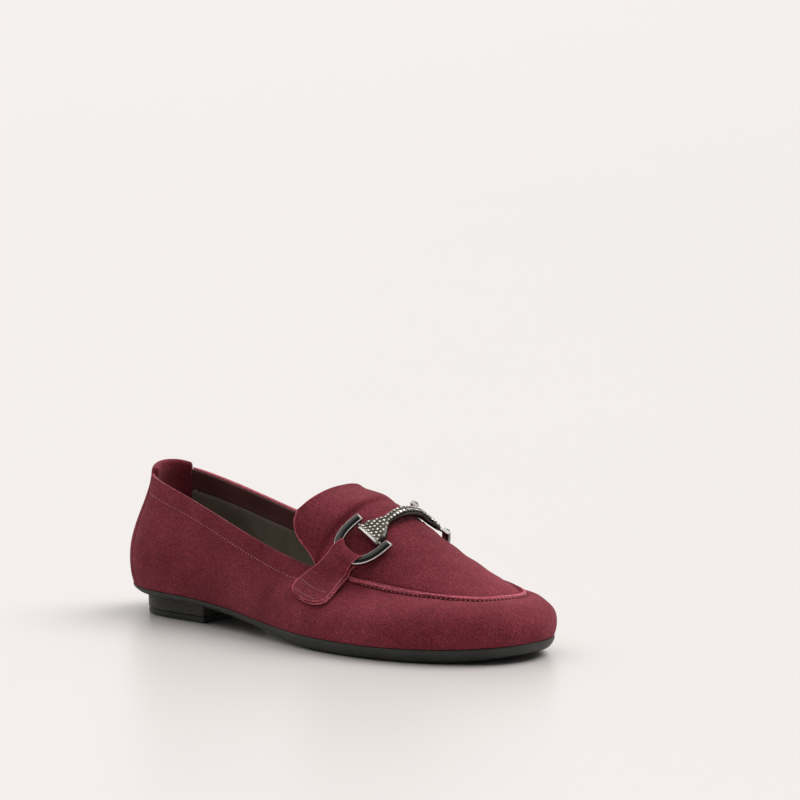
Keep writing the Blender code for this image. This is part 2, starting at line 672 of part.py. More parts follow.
def bit_bar(sides, tree):
    """Bar across the vamp: flared ends with barrels, necks, and an arched middle."""
    outer, inner = sides
    steel = material("gunmetal", (0.12, 0.12, 0.12), 0.2, 1.0)
    flare = RING_HALF - BAND - 0.0016
    points, widths, thick = [], [], []
    spans = ((0.0, flare, 0.0017), (0.10, flare * 0.93, 0.0018), (0.20, 0.0036, 0.0019),
             (0.27, 0.0024, 0.0019), (0.38, 0.0027, 0.0021), (0.50, 0.0028, 0.0022))
    spans = spans + tuple((1 - at, width, deep) for at, width, deep in spans[-2::-1])
    core = (outer.pin + inner.pin) / 2 * (1, 1, 0) + (0, 0, 0.035)
    turns = [math.atan2(side.pin[1] - core[1], side.pin[2] - core[2]) for side in sides]
    for at, width, deep in spans:
        point = outer.pin * (1 - at) + inner.pin * at
        if 0 < at < 1:
            turn = turns[0] * (1 - at) + turns[1] * at
            away = np.array([0, math.sin(turn), math.cos(turn)])
            start = core * (0, 1, 1) + (point[0], 0, 0) + away * 0.1
            hit, normal, _, _ = tree.ray_cast(Vector(start), Vector(-away))
            normal = np.array(normal) * math.copysign(1, normal[2])
            point = np.array(hit) + normal * (deep + 0.0009 + 0.0010 * math.sin(math.pi * at) ** 4)
        points.append(point)
        widths.append(width)
        thick.append(deep)
    count = 37
    path = smooth_curve(points, count)
    wide = smooth_curve(np.array(widths)[:, None], count)[:, 0]
    deep = smooth_curve(np.array(thick)[:, None], count)[:, 0]
    share = np.linspace(0, 1, count)[:, None]
    across = unit(outer.along * (1 - share) + inner.along * share)
    along = unit(np.gradient(path, axis=0))
    lift = unit(np.cross(across, along))
    lift = lift * np.sign(lift[:, 2:3])
    angles = (np.arange(12) + 0.5) * math.tau / 12
    ends = np.array([np.sign(math.cos(g)) * abs(math.cos(g)) ** 0.6 for g in angles])
    tops = np.array([np.sign(math.sin(g)) * abs(math.sin(g)) ** 0.8 for g in angles])
    first, last = path[0] - along[0] * BAR_TIP, path[-1] + along[-1] * BAR_TIP
    path = np.concatenate([[first], path, [last]])
    wide = np.concatenate([[flare], wide, [flare]])
    deep = np.concatenate([[0.0013], deep, [0.0013]])
    across = np.concatenate([across[:1], across, across[-1:]])
    lift = np.concatenate([lift[:1], lift, lift[-1:]])
    sections = [point + np.outer(ends, a) * w + np.outer(tops, n) * d
                for point, a, n, w, d in zip(path, across, lift, wide, deep)]
    bar = loft("bit_bar", sections, steel)
    for side, label in zip(sides, ("lateral", "medial")):
        angles = np.arange(12) * math.tau / 12
        room = PIN + GAP
        bore = [np.array([side.at(a, room * math.cos(g), room * math.sin(g)) for g in angles])
                for a in (-0.012, 0.012)]
        hole = loft("barrel_bore_" + label, bore, steel)
        parts.objects.unlink(hole)
        cutters.objects.link(hole)
        hole.hide_render = True
        hole.display_type = "WIRE"
        cut(bar, hole)


def laid(side, point, lift, below):
    """Settles a point of the strap's loop onto the upper, the more the further below the fold."""
    foot, normal = side.under(point[[0, 2]])
    height = float(np.dot(point - foot, normal))
    share = float(smoothstep(0.0040, 0.0095, below))
    return point + normal * (max(height + (lift - height) * share, lift) - height)


def strap(side, label):
    """Sewn tab, and the loop above it that folds round the ring."""
    suede = material(*SUEDE_PAINT)
    end = np.array(STRAP_END[side.sign])
    fold = side.fold[[0, 2]]
    down = unit(end - fold)
    square = np.array([-down[1], down[0]])
    level = np.array([1.0, -0.08])
    length = float(np.linalg.norm(end - fold))
    across = np.linspace(-1, 1, 9)
    grid = []
    for share in np.linspace(0, 1, 14) ** 0.8:
        rounding = math.sqrt(1 - max(0, (share - 0.74) / 0.26) ** 2.2 * 0.86)
        turn = float(smoothstep(0.1, 0.75, share))
        beside = unit(square * (1 - turn) + level * turn)
        half = (STRAP_NARROW + (STRAP_WIDE - STRAP_NARROW) * min(1, share / 0.75)) * rounding
        two_layers = float(1 - smoothstep(0.35, 0.7, share))
        lift = 0.0009 + STRAP_THICK + (STRAP_THICK + GAP) * two_layers
        line = []
        for a in across:
            top = math.sqrt(STRAP_SPLIT ** 2 - (a * 0.0080) ** 2)
            place = fold + down * (top + (length - top) * share) + beside * a * half
            line.append(side.lifted(place, lift))
        grid.append(line)
    grid = np.array(grid)
    for _ in range(8):
        grid[1:-1] = (grid[:-2] + 2 * grid[1:-1] + grid[2:]) / 4
    sheet("strap_" + label, grid, STRAP_THICK, suede, flip=side.sign < 0)
    loop_grid = []
    thick = BAND_THICK / 2 + 0.0006 + STRAP_THICK
    snug = BAND_THICK / 2 + GAP + STRAP_THICK
    front, back = STRAP_CLEAR + 2 * STRAP_THICK + GAP, STRAP_CLEAR
    for a in np.linspace(*LOOP_SPAN, 9) * STRAP_NARROW:
        drop, slope = ring_drop(a)
        middle = side.at(a, -drop, 0)
        wire = (BAND / 2 + 0.0006) * math.hypot(1, slope) + STRAP_THICK
        low = math.sqrt((STRAP_SPLIT - SPLIT_GAP) ** 2 - a ** 2) + RING_DEEP - BAND / 2 - drop
        line = []
        for below in np.linspace(low, wire, 5):
            line.append(laid(side, middle - side.up * below + side.out * thick, front, below))
        for angle in np.linspace(0.06, 0.94, 8) * math.pi:
            over = wire * math.sin(angle) ** 0.6
            away = math.copysign(abs(math.cos(angle)) ** 0.6, math.cos(angle))
            away = away * (thick if away > 0 else snug)
            point = middle + side.up * over + side.out * away
            line.append(laid(side, point, back, 0) if away < 0 else point)
        for below in np.linspace(wire, wire + 0.0015, 3):
            line.append(laid(side, middle - side.up * below - side.out * snug, back, 0))
        loop_grid.append(line)
    sheet("strap_loop_" + label, np.array(loop_grid), STRAP_THICK, suede, flip=side.sign > 0)


# ---------------------------------------------------------------- assembly
def main():
    global parts, cutters
    for old in list(bpy.data.objects):
        bpy.data.objects.remove(old)
    parts = bpy.data.collections.new("snaffle_loafer")
    cutters = bpy.data.collections.new("cutters")
    bpy.context.scene.collection.children.link(parts)
    bpy.context.scene.collection.children.link(cutters)
    bottom_pieces()
    apron = apron_rows(16, 8, 19)
    apron[0] += unit(apron[1] - apron[0]) * SEAM_GAP
    pulled_back(apron, 0, 1, SEAM_GAP)
    pulled_back(apron, -1, -2, SEAM_GAP)
    apron[:3, :1] += unit(apron[3:4, 2:3] - apron[:3, :1]) * SEAM_GAP * 0.9
    apron[:3, -1:] += unit(apron[3:4, -3:-2] - apron[:3, -1:]) * SEAM_GAP * 0.9
    upper_pieces(apron)
    tree = surface_tree((skirt_grid(76, 10)[:, 3:], apron))
    sides = (Side(tree, -1), Side(tree, 1))
    for side, label in zip(sides, ("lateral", "medial")):
        ring(side, label)
        hinge_pin(side, label)
        strap(side, label)
    bit_bar(sides, tree)


main()
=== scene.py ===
"""Looks of a snaffle-trimmed suede loafer, a right shoe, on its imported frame.

Frame: +X towards the toe, +Y towards the inner (medial) side, +Z up, metres.
"""

import math

import bmesh
import bpy
import numpy as np
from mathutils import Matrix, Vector
from mathutils.bvhtree import BVHTree


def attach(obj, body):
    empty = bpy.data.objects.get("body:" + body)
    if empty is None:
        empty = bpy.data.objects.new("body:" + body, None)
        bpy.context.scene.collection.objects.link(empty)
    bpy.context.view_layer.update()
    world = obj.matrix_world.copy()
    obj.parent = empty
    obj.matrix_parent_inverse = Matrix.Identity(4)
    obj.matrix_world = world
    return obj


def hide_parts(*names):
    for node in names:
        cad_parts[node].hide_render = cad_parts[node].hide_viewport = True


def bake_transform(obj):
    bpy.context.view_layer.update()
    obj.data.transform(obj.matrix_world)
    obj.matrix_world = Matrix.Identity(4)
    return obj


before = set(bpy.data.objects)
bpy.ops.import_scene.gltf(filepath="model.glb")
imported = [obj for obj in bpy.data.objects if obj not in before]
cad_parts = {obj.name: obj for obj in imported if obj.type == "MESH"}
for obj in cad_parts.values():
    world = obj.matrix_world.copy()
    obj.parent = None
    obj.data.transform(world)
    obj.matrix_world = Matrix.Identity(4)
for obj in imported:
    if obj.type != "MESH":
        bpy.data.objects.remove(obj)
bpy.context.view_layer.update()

# ---------------------------------------------------------------- driving dimensions
SHIFT = np.array([0.0018, 0.0008, 0.0])   # last frame to shoe frame

SUEDE = 0.0013            # outer leather
LINING = 0.0008           # lining leather
STIFFENER = 0.0010        # heel counter and toe puff
GAP = 0.0003              # between touching pieces
BOARD = 0.0016            # insole board
SOCK = 0.0030             # padded sock lining
MARGIN = 0.012            # lasting margin turned under the board
TAB_RISE = 0.0030         # how far the heel tab stands above the topline
TOP_PIECE = 0.0030        # heel top piece
BREAST_T = 3.55           # loop parameter of the heel's front face

# Height over the ground, by distance along the shoe: top and underside of the outsole.
FEATHER_X = (-0.125, -0.100, -0.066, -0.041, -0.016, 0.012, 0.045, 0.075, 0.098, 0.114, 0.125)
FEATHER_Z = (0.0145, 0.0140, 0.0130, 0.0110, 0.0085, 0.0070, 0.0065, 0.0066, 0.0072, 0.0082, 0.0092)
TREAD_X = (-0.125, -0.066, -0.041, -0.016, 0.004, 0.020, 0.050, 0.085, 0.104, 0.125)
TREAD_Z = (0.0105, 0.0094, 0.0070, 0.0040, 0.0015, 0.0002, 0.0, 0.0, 0.0012, 0.0042)

# The last, one row a station: plan point on the feather line, then the point straight
# across from it on the upper's top edge (topline behind, apron seam in front).
# The rows run from the centre back along the outer side to the toe, and back inside.
STATIONS = (
    (-0.1260, 0.0000, -0.1160, 0.0000, 0.0735),
    (-0.1210, -0.0160, -0.1122, -0.0120, 0.0723),
    (-0.1060, -0.0280, -0.1020, -0.0185, 0.0693),
    (-0.0800, -0.0305, -0.0800, -0.0215, 0.0636),
    (-0.0520, -0.0310, -0.0520, -0.0240, 0.0550),
    (-0.0220, -0.0355, -0.0240, -0.0260, 0.0462),
    (0.0100, -0.0425, 0.0040, -0.0275, 0.0392),
    (0.0420, -0.0450, 0.0320, -0.0275, 0.0350),
    (0.0720, -0.0405, 0.0620, -0.0240, 0.0313),
    (0.0970, -0.0290, 0.0860, -0.0175, 0.0295),
    (0.1155, -0.0130, 0.0980, -0.0070, 0.0283),
    (0.1232, 0.0070, 0.1020, 0.0080, 0.0275),
    (0.1190, 0.0255, 0.1025, 0.0220, 0.0270),
    (0.1040, 0.0375, 0.0920, 0.0300, 0.0283),
    (0.0770, 0.0425, 0.0660, 0.0325, 0.0320),
    (0.0450, 0.0415, 0.0360, 0.0315, 0.0365),
    (0.0120, 0.0355, 0.0080, 0.0285, 0.0415),
    (-0.0200, 0.0280, -0.0200, 0.0255, 0.0480),
    (-0.0520, 0.0265, -0.0500, 0.0230, 0.0560),
    (-0.0800, 0.0285, -0.0800, 0.0210, 0.0640),
    (-0.1060, 0.0270, -0.1020, 0.0180, 0.0695),
    (-0.1210, 0.0155, -0.1122, 0.0115, 0.0724),
)
LOOP = len(STATIONS)
TOE = LOOP / 2

# Wall section, by loop parameter from the heel (0) to the toe (11), same on both sides.
WALL_T = (0.0, 2.0, 4.5, 7.0, 9.0, 11.0)
BULGE = (0.0075, 0.0070, 0.0050, 0.0050, 0.0050, 0.0045)      # lower handle, outwards
BULGE_UP = (0.45, 0.45, 0.40, 0.55, 0.65, 0.65)               # its height, of the wall's
SHOULDER = (0.0000, 0.0020, 0.0030, 0.0060, 0.0100, 0.0110)   # upper handle, outwards
SHOULDER_DOWN = (0.30, 0.30, 0.35, 0.30, 0.02, -0.04)         # its drop, of the wall's

# Apron and tongue.
CORNER_T = 9.75           # loop parameter of the apron's rounded toe corner
SEAM_T = 6.35             # where the apron seam ends and the tongue's free edge begins
CREST_X = (0.098, 0.090, 0.080, 0.070, 0.060, 0.050, 0.040, 0.030, 0.020)
CREST_Z = (0.0295, 0.0345, 0.0398, 0.0448, 0.0498, 0.0550, 0.0604, 0.0652, 0.0688)
TONGUE_EDGE = ((0.0110, -0.0285, 0.0430), (0.0035, -0.0285, 0.0505),
               (-0.0005, -0.0270, 0.0575), (-0.0015, -0.0235, 0.0635))
TONGUE_CREST = ((0.0220, 0.0055, 0.0698), (0.0140, 0.0060, 0.0712),
                (0.0070, 0.0060, 0.0720), (0.0020, 0.0060, 0.0724))

# Leather work: stitch sizes are a stitch's length, width and pitch.
RIDGE = 0.0015            # height of the raised seam round the apron
RIDGE_WIDE = 0.0012       # width of each of its two edges
RIDGE_T = (6.90, 7.30)    # loop parameters over which it rises from the seam's ends
EDGE_HIGHLIGHT = 0.0004              # width of the paler suede painted on the face along a cut edge, a painted highlight
EDGE_TURN = 0.0014        # inset at which the suede turns under the board
TOPLINE_STITCH = 0.0095   # stitch row under the topline
TOPLINE_THREAD = (0.0010, 0.0006, 0.0021)
SEAM_THREAD = (0.0010, 0.0006, 0.0024)
STRAP_THREAD = (0.0009, 0.00055, 0.0018)
TAB_RADIUS = 0.0020       # outside of the roll over the heel tab
BACK_HALF = 0.010         # half the back seam's gap, in loop parameter
CORNER_REACH = 0.0045     # how far the apron's directions are evened out round a toe corner
CURL, CURL_WIDE = 0.0012, 0.0060      # height and width of the tongue's turned-up edge
WAVE_FADE = 0.006         # distance from an edge over which the leather's waves fade
GRIP_FOOT = 0.0085        # lower edge of the heel grip over the feather line
LINING_FOOT = 0.0042      # lower edge of the linings over the feather line
FACING = 0.0110           # depth of the topline facing
FACING_TOP = 0.985        # the v of its upper edge
QUARTER_T = 5.9           # loop parameter where the quarter linings end
SOCK_INSET = 0.0042       # sock's edge inside the feather line
SOCK_DISHES = ((-0.088, 0.020, 0.0006), (0.055, 0.022, 0.0004))   # place, reach and depth
HEEL_TUCK = 0.0042        # how much further in the heel lies round the back than the sole

# Straps and snaffle trim; a pair is for the outer (-1) and the inner (1) side.
BAND = 0.0046             # ring band width
BAND_THICK = 0.0024
GROOVE = (0.00175, 0.0004)    # enamel groove in the band, half width and depth
RING_HALF = 0.0135        # ring, half its outer length
RING_DEEP = 0.0185        # ring, from its pin to the far side of the band
ROUND = 0.8               # 1 for an elliptical ring, less for squarer corners
RING_TURN = 0.06          # slope of the ring, rear end away from the upper
BARREL = {-1: (0.0380, 0.0530), 1: (0.0400, 0.0545)}    # ring pin, along and up
FOOT_LIFT = {-1: 0.0054, 1: 0.0058}                     # ring band over the upper
PIN_LIFT = {-1: 0.0033, 1: 0.0036}                      # ring pin over the upper
RING_FOOT = {-1: (0.0320, 0.0430), 1: (0.0340, 0.0455)}   # under the ring's far side
STRAP_END = {-1: (0.0170, 0.0234), 1: (0.0200, 0.0265)}   # middle of the strap's sewn end
STRAP_WIDE, STRAP_NARROW = 0.0125, 0.0072               # half widths
STRAP_THICK = 0.0012
STRAP_COLUMNS = np.sin(np.linspace(-0.5, 0.5, 41) * math.pi)   # across it, closer at its edges
ABOVE, BENEATH = 0.0029, 0.0009           # lift of the sewn tab's two layers off the upper
LOOP_ABOVE, LOOP_BENEATH = 0.0046, 0.0006     # lift of the loop's two layers
TAB_TOP, LOOP_TOP = 0.0104, 0.0085        # where the tab and the loop start below the fold
PLATE_EDGE = 0.0012       # bright bevel at the flared plate's straight edge
PLATE_TIP = 0.0018        # the bar's plates reach this far past the pins
BAR_OVER = (0.0009, 0.0007)   # the bar's least clearance off the vamp, outer and inner part
BAR_ARCH = 0.0010         # further clearance in its middle
GEM_PITCH = 0.00225       # between neighbouring stones
GEM = 0.00104             # stone radius
BEAD = 0.00024            # radius of the beads that hold them


# ---------------------------------------------------------------- mathematics
def hermite(u, first, second, slope, next_slope):
    """Value between two others with the given slopes at them; u runs from 0 to 1."""
    return ((1 + 2 * u) * (1 - u) ** 2 * first + u * (1 - u) ** 2 * slope
            + u * u * (3 - 2 * u) * second + u * u * (u - 1) * next_slope)


def closed_curve(points, t):
    """Smooth closed curve through the points, at loop parameters t (one unit a point)."""
    points = np.asarray(points, float)
    count = len(points)
    ring = np.eye(count)
    system = 4 * ring + np.roll(ring, 1, 0) + np.roll(ring, -1, 0)
    slopes = np.linalg.solve(system, 3 * (np.roll(points, -1, 0) - np.roll(points, 1, 0)))
    t = np.asarray(t, float)
    first = np.floor(t).astype(int) % count
    second = (first + 1) % count
    u = (t - np.floor(t))[..., None]
    return hermite(u, points[first], points[second], slopes[first], slopes[second])


def curve_at(points, t):
    """Points of a smooth open curve through the given ones, at parameters t (one unit a point)."""
    points, t = np.asarray(points, float), np.asarray(t, float)
    first = np.clip(t.astype(int), 0, len(points) - 2)
    slopes = np.gradient(points, axis=0)
    u = (t - first)[:, None]
    return hermite(u, points[first], points[first + 1], slopes[first], slopes[first + 1])


def smooth_curve(points, count):
    """Points along a smooth open curve through the given ones, both ends included."""
    return curve_at(points, np.linspace(0, len(points) - 1, count))


def smooth_value(x, xs, ys):
    """Value of a smooth profile through (xs, ys); flat beyond its ends."""
    xs, ys = np.asarray(xs, float), np.asarray(ys, float)
    if xs[0] > xs[-1]:
        xs, ys = xs[::-1], ys[::-1]
    slopes = np.gradient(ys, xs)
    x = np.clip(np.asarray(x, float), xs[0], xs[-1])
    first = np.clip(np.searchsorted(xs, x) - 1, 0, len(xs) - 2)
    width = xs[first + 1] - xs[first]
    return hermite((x - xs[first]) / width, ys[first], ys[first + 1],
                   slopes[first] * width, slopes[first + 1] * width)


def unit(vectors):
    """Vectors brought to length one."""
    vectors = np.asarray(vectors, float)
    return vectors / np.linalg.norm(vectors, axis=-1, keepdims=True)


def smoothstep(low, high, x):
    """0 below low, 1 above high, and a smooth step between."""
    u = np.clip((np.asarray(x, float) - low) / (high - low), 0, 1)
    return u * u * (3 - 2 * u)


def side_parameter(t):
    """Distance from the heel in stations, the same on both sides."""
    t = np.mod(t, LOOP)
    return np.minimum(t, LOOP - t)


# ---------------------------------------------------------------- the last
def feather_height(x):
    """Height of the outsole's top, where the upper meets it."""
    return smooth_value(x, FEATHER_X, FEATHER_Z)


def tread_height(x):
    """Height of the outsole's underside."""
    return np.maximum(smooth_value(x, TREAD_X, TREAD_Z), 0.0)


def plan(t):
    """Feather line in plan."""
    return closed_curve([row[:2] for row in STATIONS], t)


def plan_normal(t):
    """Outward direction in plan, square to the feather line."""
    step = 0.02
    along = plan(np.asarray(t) + step) - plan(np.asarray(t) - step)
    return unit(np.stack([along[..., 1], -along[..., 0]], -1))


def feather(t, inset=0.0, lift=0.0):
    """Point on the feather line, moved inwards in plan and up from the outsole's top."""
    flat = plan(t) - plan_normal(t) * inset
    return np.concatenate([flat, (feather_height(flat[..., 0]) + lift)[..., None]], -1)


def top_edge(t):
    """Upper's top edge: the topline behind, and the apron seam in front."""
    return closed_curve([row[2:] for row in STATIONS], t)


def wall(t, v):
    """Outer face of the upper's wall: t around the shoe, v from feather (0) to top edge (1)."""
    t, v = np.broadcast_arrays(np.asarray(t, float), np.asarray(v, float))
    low = feather(t, lift=GAP)
    high = top_edge(t)
    side = side_parameter(t)
    out = np.concatenate([plan_normal(t), np.zeros(t.shape + (1,))], -1)
    rise = np.zeros(t.shape + (3,))
    rise[..., 2] = high[..., 2] - low[..., 2]
    low_handle = (low + out * smooth_value(side, WALL_T, BULGE)[..., None]
                  + rise * smooth_value(side, WALL_T, BULGE_UP)[..., None])
    high_handle = (high + out * smooth_value(side, WALL_T, SHOULDER)[..., None]
                   - rise * smooth_value(side, WALL_T, SHOULDER_DOWN)[..., None])
    v = v[..., None]
    return ((1 - v) ** 3 * low + 3 * v * (1 - v) ** 2 * low_handle
            + 3 * v * v * (1 - v) * high_handle + v ** 3 * high)


def wall_grid():
    """Plain outer face of the skirt, for placing what lies on it."""
    heights = np.linspace(0, 1, 28)
    return wall(round_toe(np.linspace(0, 1, 160)[:, None], heights, 0.03), heights)


def wall_at(t, v, depth):
    """Point at a depth below the wall's outer face."""
    step = 0.01
    t, v = np.broadcast_arrays(np.asarray(t, float), np.asarray(v, float))
    around = wall(t + step, v) - wall(t - step, v)
    up = wall(t, np.minimum(v + step, 1)) - wall(t, np.maximum(v - step, 0))
    normal = unit(np.cross(around, up))
    return wall(t, v) - normal * np.asarray(depth)[..., None]


def wall_v(t, height):
    """The v at which the wall stands a given height above the feather line."""
    samples = np.linspace(0, 1, 41)
    heights = wall(t[:, None], samples)[..., 2] - feather_height(plan(t)[:, :1])
    height = np.broadcast_to(height, t.shape)
    return np.array([np.interp(one, row, samples) for one, row in zip(height, heights)])


def back_seam(v):
    """Loop parameter of the seam between the side wall and the heel's back strip."""
    return 1.85 - 0.40 * np.asarray(v)


def round_toe(shares, v, gap):
    """Loop parameters from one edge of the heel strip round the toe to the other, by share."""
    seam = back_seam(v) + gap
    return seam + shares * (LOOP - 2 * seam)


def height_v(ts, drop):
    """The v that lies a given height under the top edge."""
    return wall_v(ts, top_edge(ts)[:, 2] - feather_height(plan(ts)[:, 0]) - drop)


def lining_depth(t, v):
    """Depth of the lining's outer face: deeper where the counter and the puff lie."""
    side = side_parameter(t)
    heel = (1 - smoothstep(3.4, 4.6, side)) * (1 - smoothstep(0.72, 0.86, v))
    toe = smoothstep(7.6, 8.8, side)
    return SUEDE + GAP + (STIFFENER + GAP) * np.maximum(heel, toe)


def surface_tree(grids):
    """Ray-casting tree over grids of points, in last coordinates."""
    verts, faces = [], []
    for grid in grids:
        base = len(verts)
        rows, columns = grid.shape[:2]
        verts += [Vector(point) for point in grid.reshape(-1, 3)]
        for i in range(rows - 1):
            for k in range(columns - 1):
                corner = base + i * columns + k
                faces.append((corner, corner + 1, corner + columns + 1, corner + columns))
    return BVHTree.FromPolygons(verts, faces)


class Side:
    """Frame of one side's ring: its pin, and the along, up and outward directions.

    The sign is -1 on the outer side of the shoe and 1 on the inner side.
    """

    def __init__(self, tree, sign):
        self.tree, self.sign = tree, sign
        foot = self.lifted(RING_FOOT[sign], FOOT_LIFT[sign])
        self.pin = self.lifted(BARREL[sign], PIN_LIFT[sign])
        self.up = unit(self.pin - foot)
        along = np.array([0.85, 0.0, -0.53])
        along = unit(along - self.up * np.dot(along, self.up))
        out = np.cross(along, self.up)
        out = out * np.sign(out[1]) * sign
        self.along = unit(along + out * RING_TURN)
        self.out = unit(out - along * RING_TURN)
        self.fold = self.pin - self.up * (RING_DEEP - BAND / 2)

    def under(self, place):
        """Point of the upper's side at an along and up place, and the direction square off it.

        Over the open notch between tongue and topline it carries on from the topline.
        """
        for step in range(12):
            start = Vector((place[0], self.sign * 0.2, place[1] - step * 0.001))
            hit, normal, _, _ = self.tree.ray_cast(start, Vector((0, -self.sign, 0)))
            if hit and hit[1] * self.sign > 0.012:
                break
        normal = np.array(normal)
        return np.array((place[0], hit[1], place[1])), normal * np.sign(normal[1]) * self.sign

    def lifted(self, place, lift):
        foot, normal = self.under(place)
        return foot + normal * lift

    def at(self, along, up, out):
        return self.pin + self.along * along + self.up * up + self.out * out


# ---------------------------------------------------------------- apron surface
def apron_rows(shares, columns):
    """Outer face of the apron and tongue, in rows across.

    A share runs from 0 at the toe edge to 1 where the seam ends and 2 at the tongue's end.
    """
    shares = np.concatenate([[0.0], np.asarray(shares, float)])
    q = -np.cos(np.linspace(0, math.pi, columns))
    blend = ((q + 1) / 2)[:, None]
    sewn = shares[shares <= 1]
    free = (shares[shares > 1] - 1) * len(TONGUE_EDGE)
    seam_t = CORNER_T + (SEAM_T - CORNER_T) * sewn
    near, far = top_edge(seam_t), top_edge(LOOP - seam_t)
    middle = (near[:, 0] + far[:, 0]) / 2 + 0.009 * smoothstep(CORNER_T, SEAM_T, seam_t)
    crest = np.stack([middle, np.full(len(sewn), 0.0065),
                      smooth_value(middle, CREST_X, CREST_Z)], -1)
    edge = [near[-1]] + list(np.array(TONGUE_EDGE))
    other = [far[-1]] + [point * (1, -1, 1) + (0, 0.002, 0.001) for point in np.array(TONGUE_EDGE)]
    ridge = [crest[-1]] + list(np.array(TONGUE_CREST))
    near = np.concatenate([near, curve_at(edge, free)])
    far = np.concatenate([far, curve_at(other, free)])
    crest = np.concatenate([crest, curve_at(ridge, free)])
    roundness = np.interp(shares, (0, 0.533, 1, 2), (1.05, 1.45, 1.95, 1.55))
    fullness = np.interp(shares, (0, 1, 2), (2.0, 2.5, 2.5))
    front = top_edge(CORNER_T + (q + 1) / 2 * (LOOP - 2 * CORNER_T))
    bow = front - (near[0] * (1 - blend) + far[0] * blend)
    grid = []
    for k, share in enumerate(shares):
        base = near[k] * (1 - blend) + far[k] * blend
        skew = (crest[k][1] - (near[k][1] + far[k][1]) / 2) / ((far[k][1] - near[k][1]) / 2)
        at = np.clip(q - skew * (1 - q * q), -1, 1)
        bump = (1 - np.abs(at) ** fullness[k]) ** (1 / roundness[k])
        lift = crest[k] - (near[k] + far[k]) / 2
        fade = max(0, 1 - share / 0.64) ** 2
        grid.append(base + bump[:, None] * np.array([lift[0], 0, lift[2]]) + bow * fade)
    grid, nearness = np.array(grid), np.clip(1 - shares / 0.45, 0, 1) ** 2
    return (grid + (front - grid[0]) * nearness[:, None, None])[1:]


# ---------------------------------------------------------------- mesh helpers
def normals_of(grid):
    """Unit normals of a grid of points, square to its rows and columns."""
    return unit(np.cross(np.gradient(grid, axis=0), np.gradient(grid, axis=1)) + 1e-15)


def softened(normals):
    """Directions evened out with their neighbours', so that relief doesn't crumple at a corner."""
    for _ in range(10):
        padded = np.pad(normals, ((1, 1), (1, 1), (0, 0)), "edge")
        normals = unit(padded[:-2, 1:-1] + padded[2:, 1:-1] + padded[1:-1, :-2] + padded[1:-1, 2:])
    return normals


def to_end(grid):
    """Distance of each point from the last one of its row, along the row."""
    steps = np.linalg.norm(np.diff(grid, axis=1), axis=2)
    back = np.cumsum(steps[:, ::-1], axis=1)[:, ::-1]
    return np.concatenate([back, np.zeros((len(grid), 1))], 1)


def new_object(name, bm, paints, body, replaced=(), flat=False):
    """An object from a bmesh, riding on a body and standing for the replaced CAD nodes."""
    mesh = bpy.data.meshes.new(name)
    bm.normal_update()
    bm.to_mesh(mesh)
    bm.free()
    for paint in paints:
        mesh.materials.append(paint)
    if not flat:
        mesh.shade_smooth()
    made = bpy.data.objects.new(name, mesh)
    bpy.context.scene.collection.objects.link(made)
    if body:
        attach(made, body)
    if replaced:
        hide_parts(*replaced)
    return made


def grid_bmesh(grid, flip):
    """Quads between the rows of a grid of points."""
    bm = bmesh.new()
    rows = [[bm.verts.new(Vector(point + SHIFT)) for point in row] for row in grid]
    for row, other in zip(rows, rows[1:]):
        for k in range(len(row) - 1):
            corners = (row[k], row[k + 1], other[k + 1], other[k])
            bm.faces.new(corners[::-1] if flip else corners)
    return bm


def leather(name, grid, thickness, paints, nodes, flip=False, body="shoe", rounding=0.0003,
            cut_edge_and_highlight=None):
    """A layer of leather: its outer face is the grid; paints are its face and its cut edge.

    Where the mask is true, by row and column, the face shows the raw edge's paint too, as a painted
    highlight.
    """
    made = new_object(name, grid_bmesh(grid, flip), paints, body, nodes)
    if cut_edge_and_highlight is not None:
        made.data.polygons.foreach_set("material_index", cut_edge_and_highlight[:-1, :-1].ravel().astype(np.int32))
    solid = made.modifiers.new("thickness", "SOLIDIFY")
    solid.thickness = thickness
    solid.offset = -1
    solid.use_even_offset = False
    solid.material_offset_rim = len(paints) - 1
    if rounding:
        edge = made.modifiers.new("edge", "BEVEL")
        edge.width = rounding
        edge.segments = 2
        edge.angle_limit = math.radians(50)
        edge.use_clamp_overlap = True
    return made


def tube(rings, caps, name, paints, body, nodes, sharp):
    """A closed solid through rings of points; caps closes the first and the last."""
    bm = bmesh.new()
    rings = [[bm.verts.new(Vector(point + SHIFT)) for point in ring] for ring in rings]
    for ring, other in zip(rings, rings[1:]):
        for k in range(-len(ring), 0):
            bm.faces.new((ring[k], ring[k + 1], other[k + 1], other[k]))
    caps(bm, rings)
    bmesh.ops.recalc_face_normals(bm, faces=bm.faces)
    made = new_object(name, bm, paints, body, nodes)
    if sharp:
        made.data.set_sharp_from_angle(angle=math.radians(sharp))
    return made


def ringed(name, levels, paints, nodes, sharp=None):
    """A solid of the shoe through level outlines, with caps of strips from side to side."""
    def caps(bm, rings):
        count = len(rings[0])
        for ring, turn in ((rings[0], -1), (rings[-1], 1)):
            for k in range(count // 2 - 1):
                quad = (ring[k], ring[k + 1], ring[count - 2 - k], ring[count - 1 - k])
                corners = list(dict.fromkeys(quad))
                if len(corners) > 2:
                    bm.faces.new(corners[::turn])
    return tube(levels, caps, name, paints, "shoe", nodes, sharp)


def swept(name, path, across, outward, outlines, paints, nodes, body="bit", sharp=35):
    """A bar along a path; each section is the outline of (across, outward) pairs there."""
    def caps(bm, rings):
        bm.faces.new(rings[0][::-1])
        bm.faces.new(rings[-1])
    rings = [[point + side * a + out * b for a, b in outline]
             for point, side, out, outline in zip(path, across, outward, outlines)]
    return tube(rings, caps, name, paints, body, nodes, sharp)


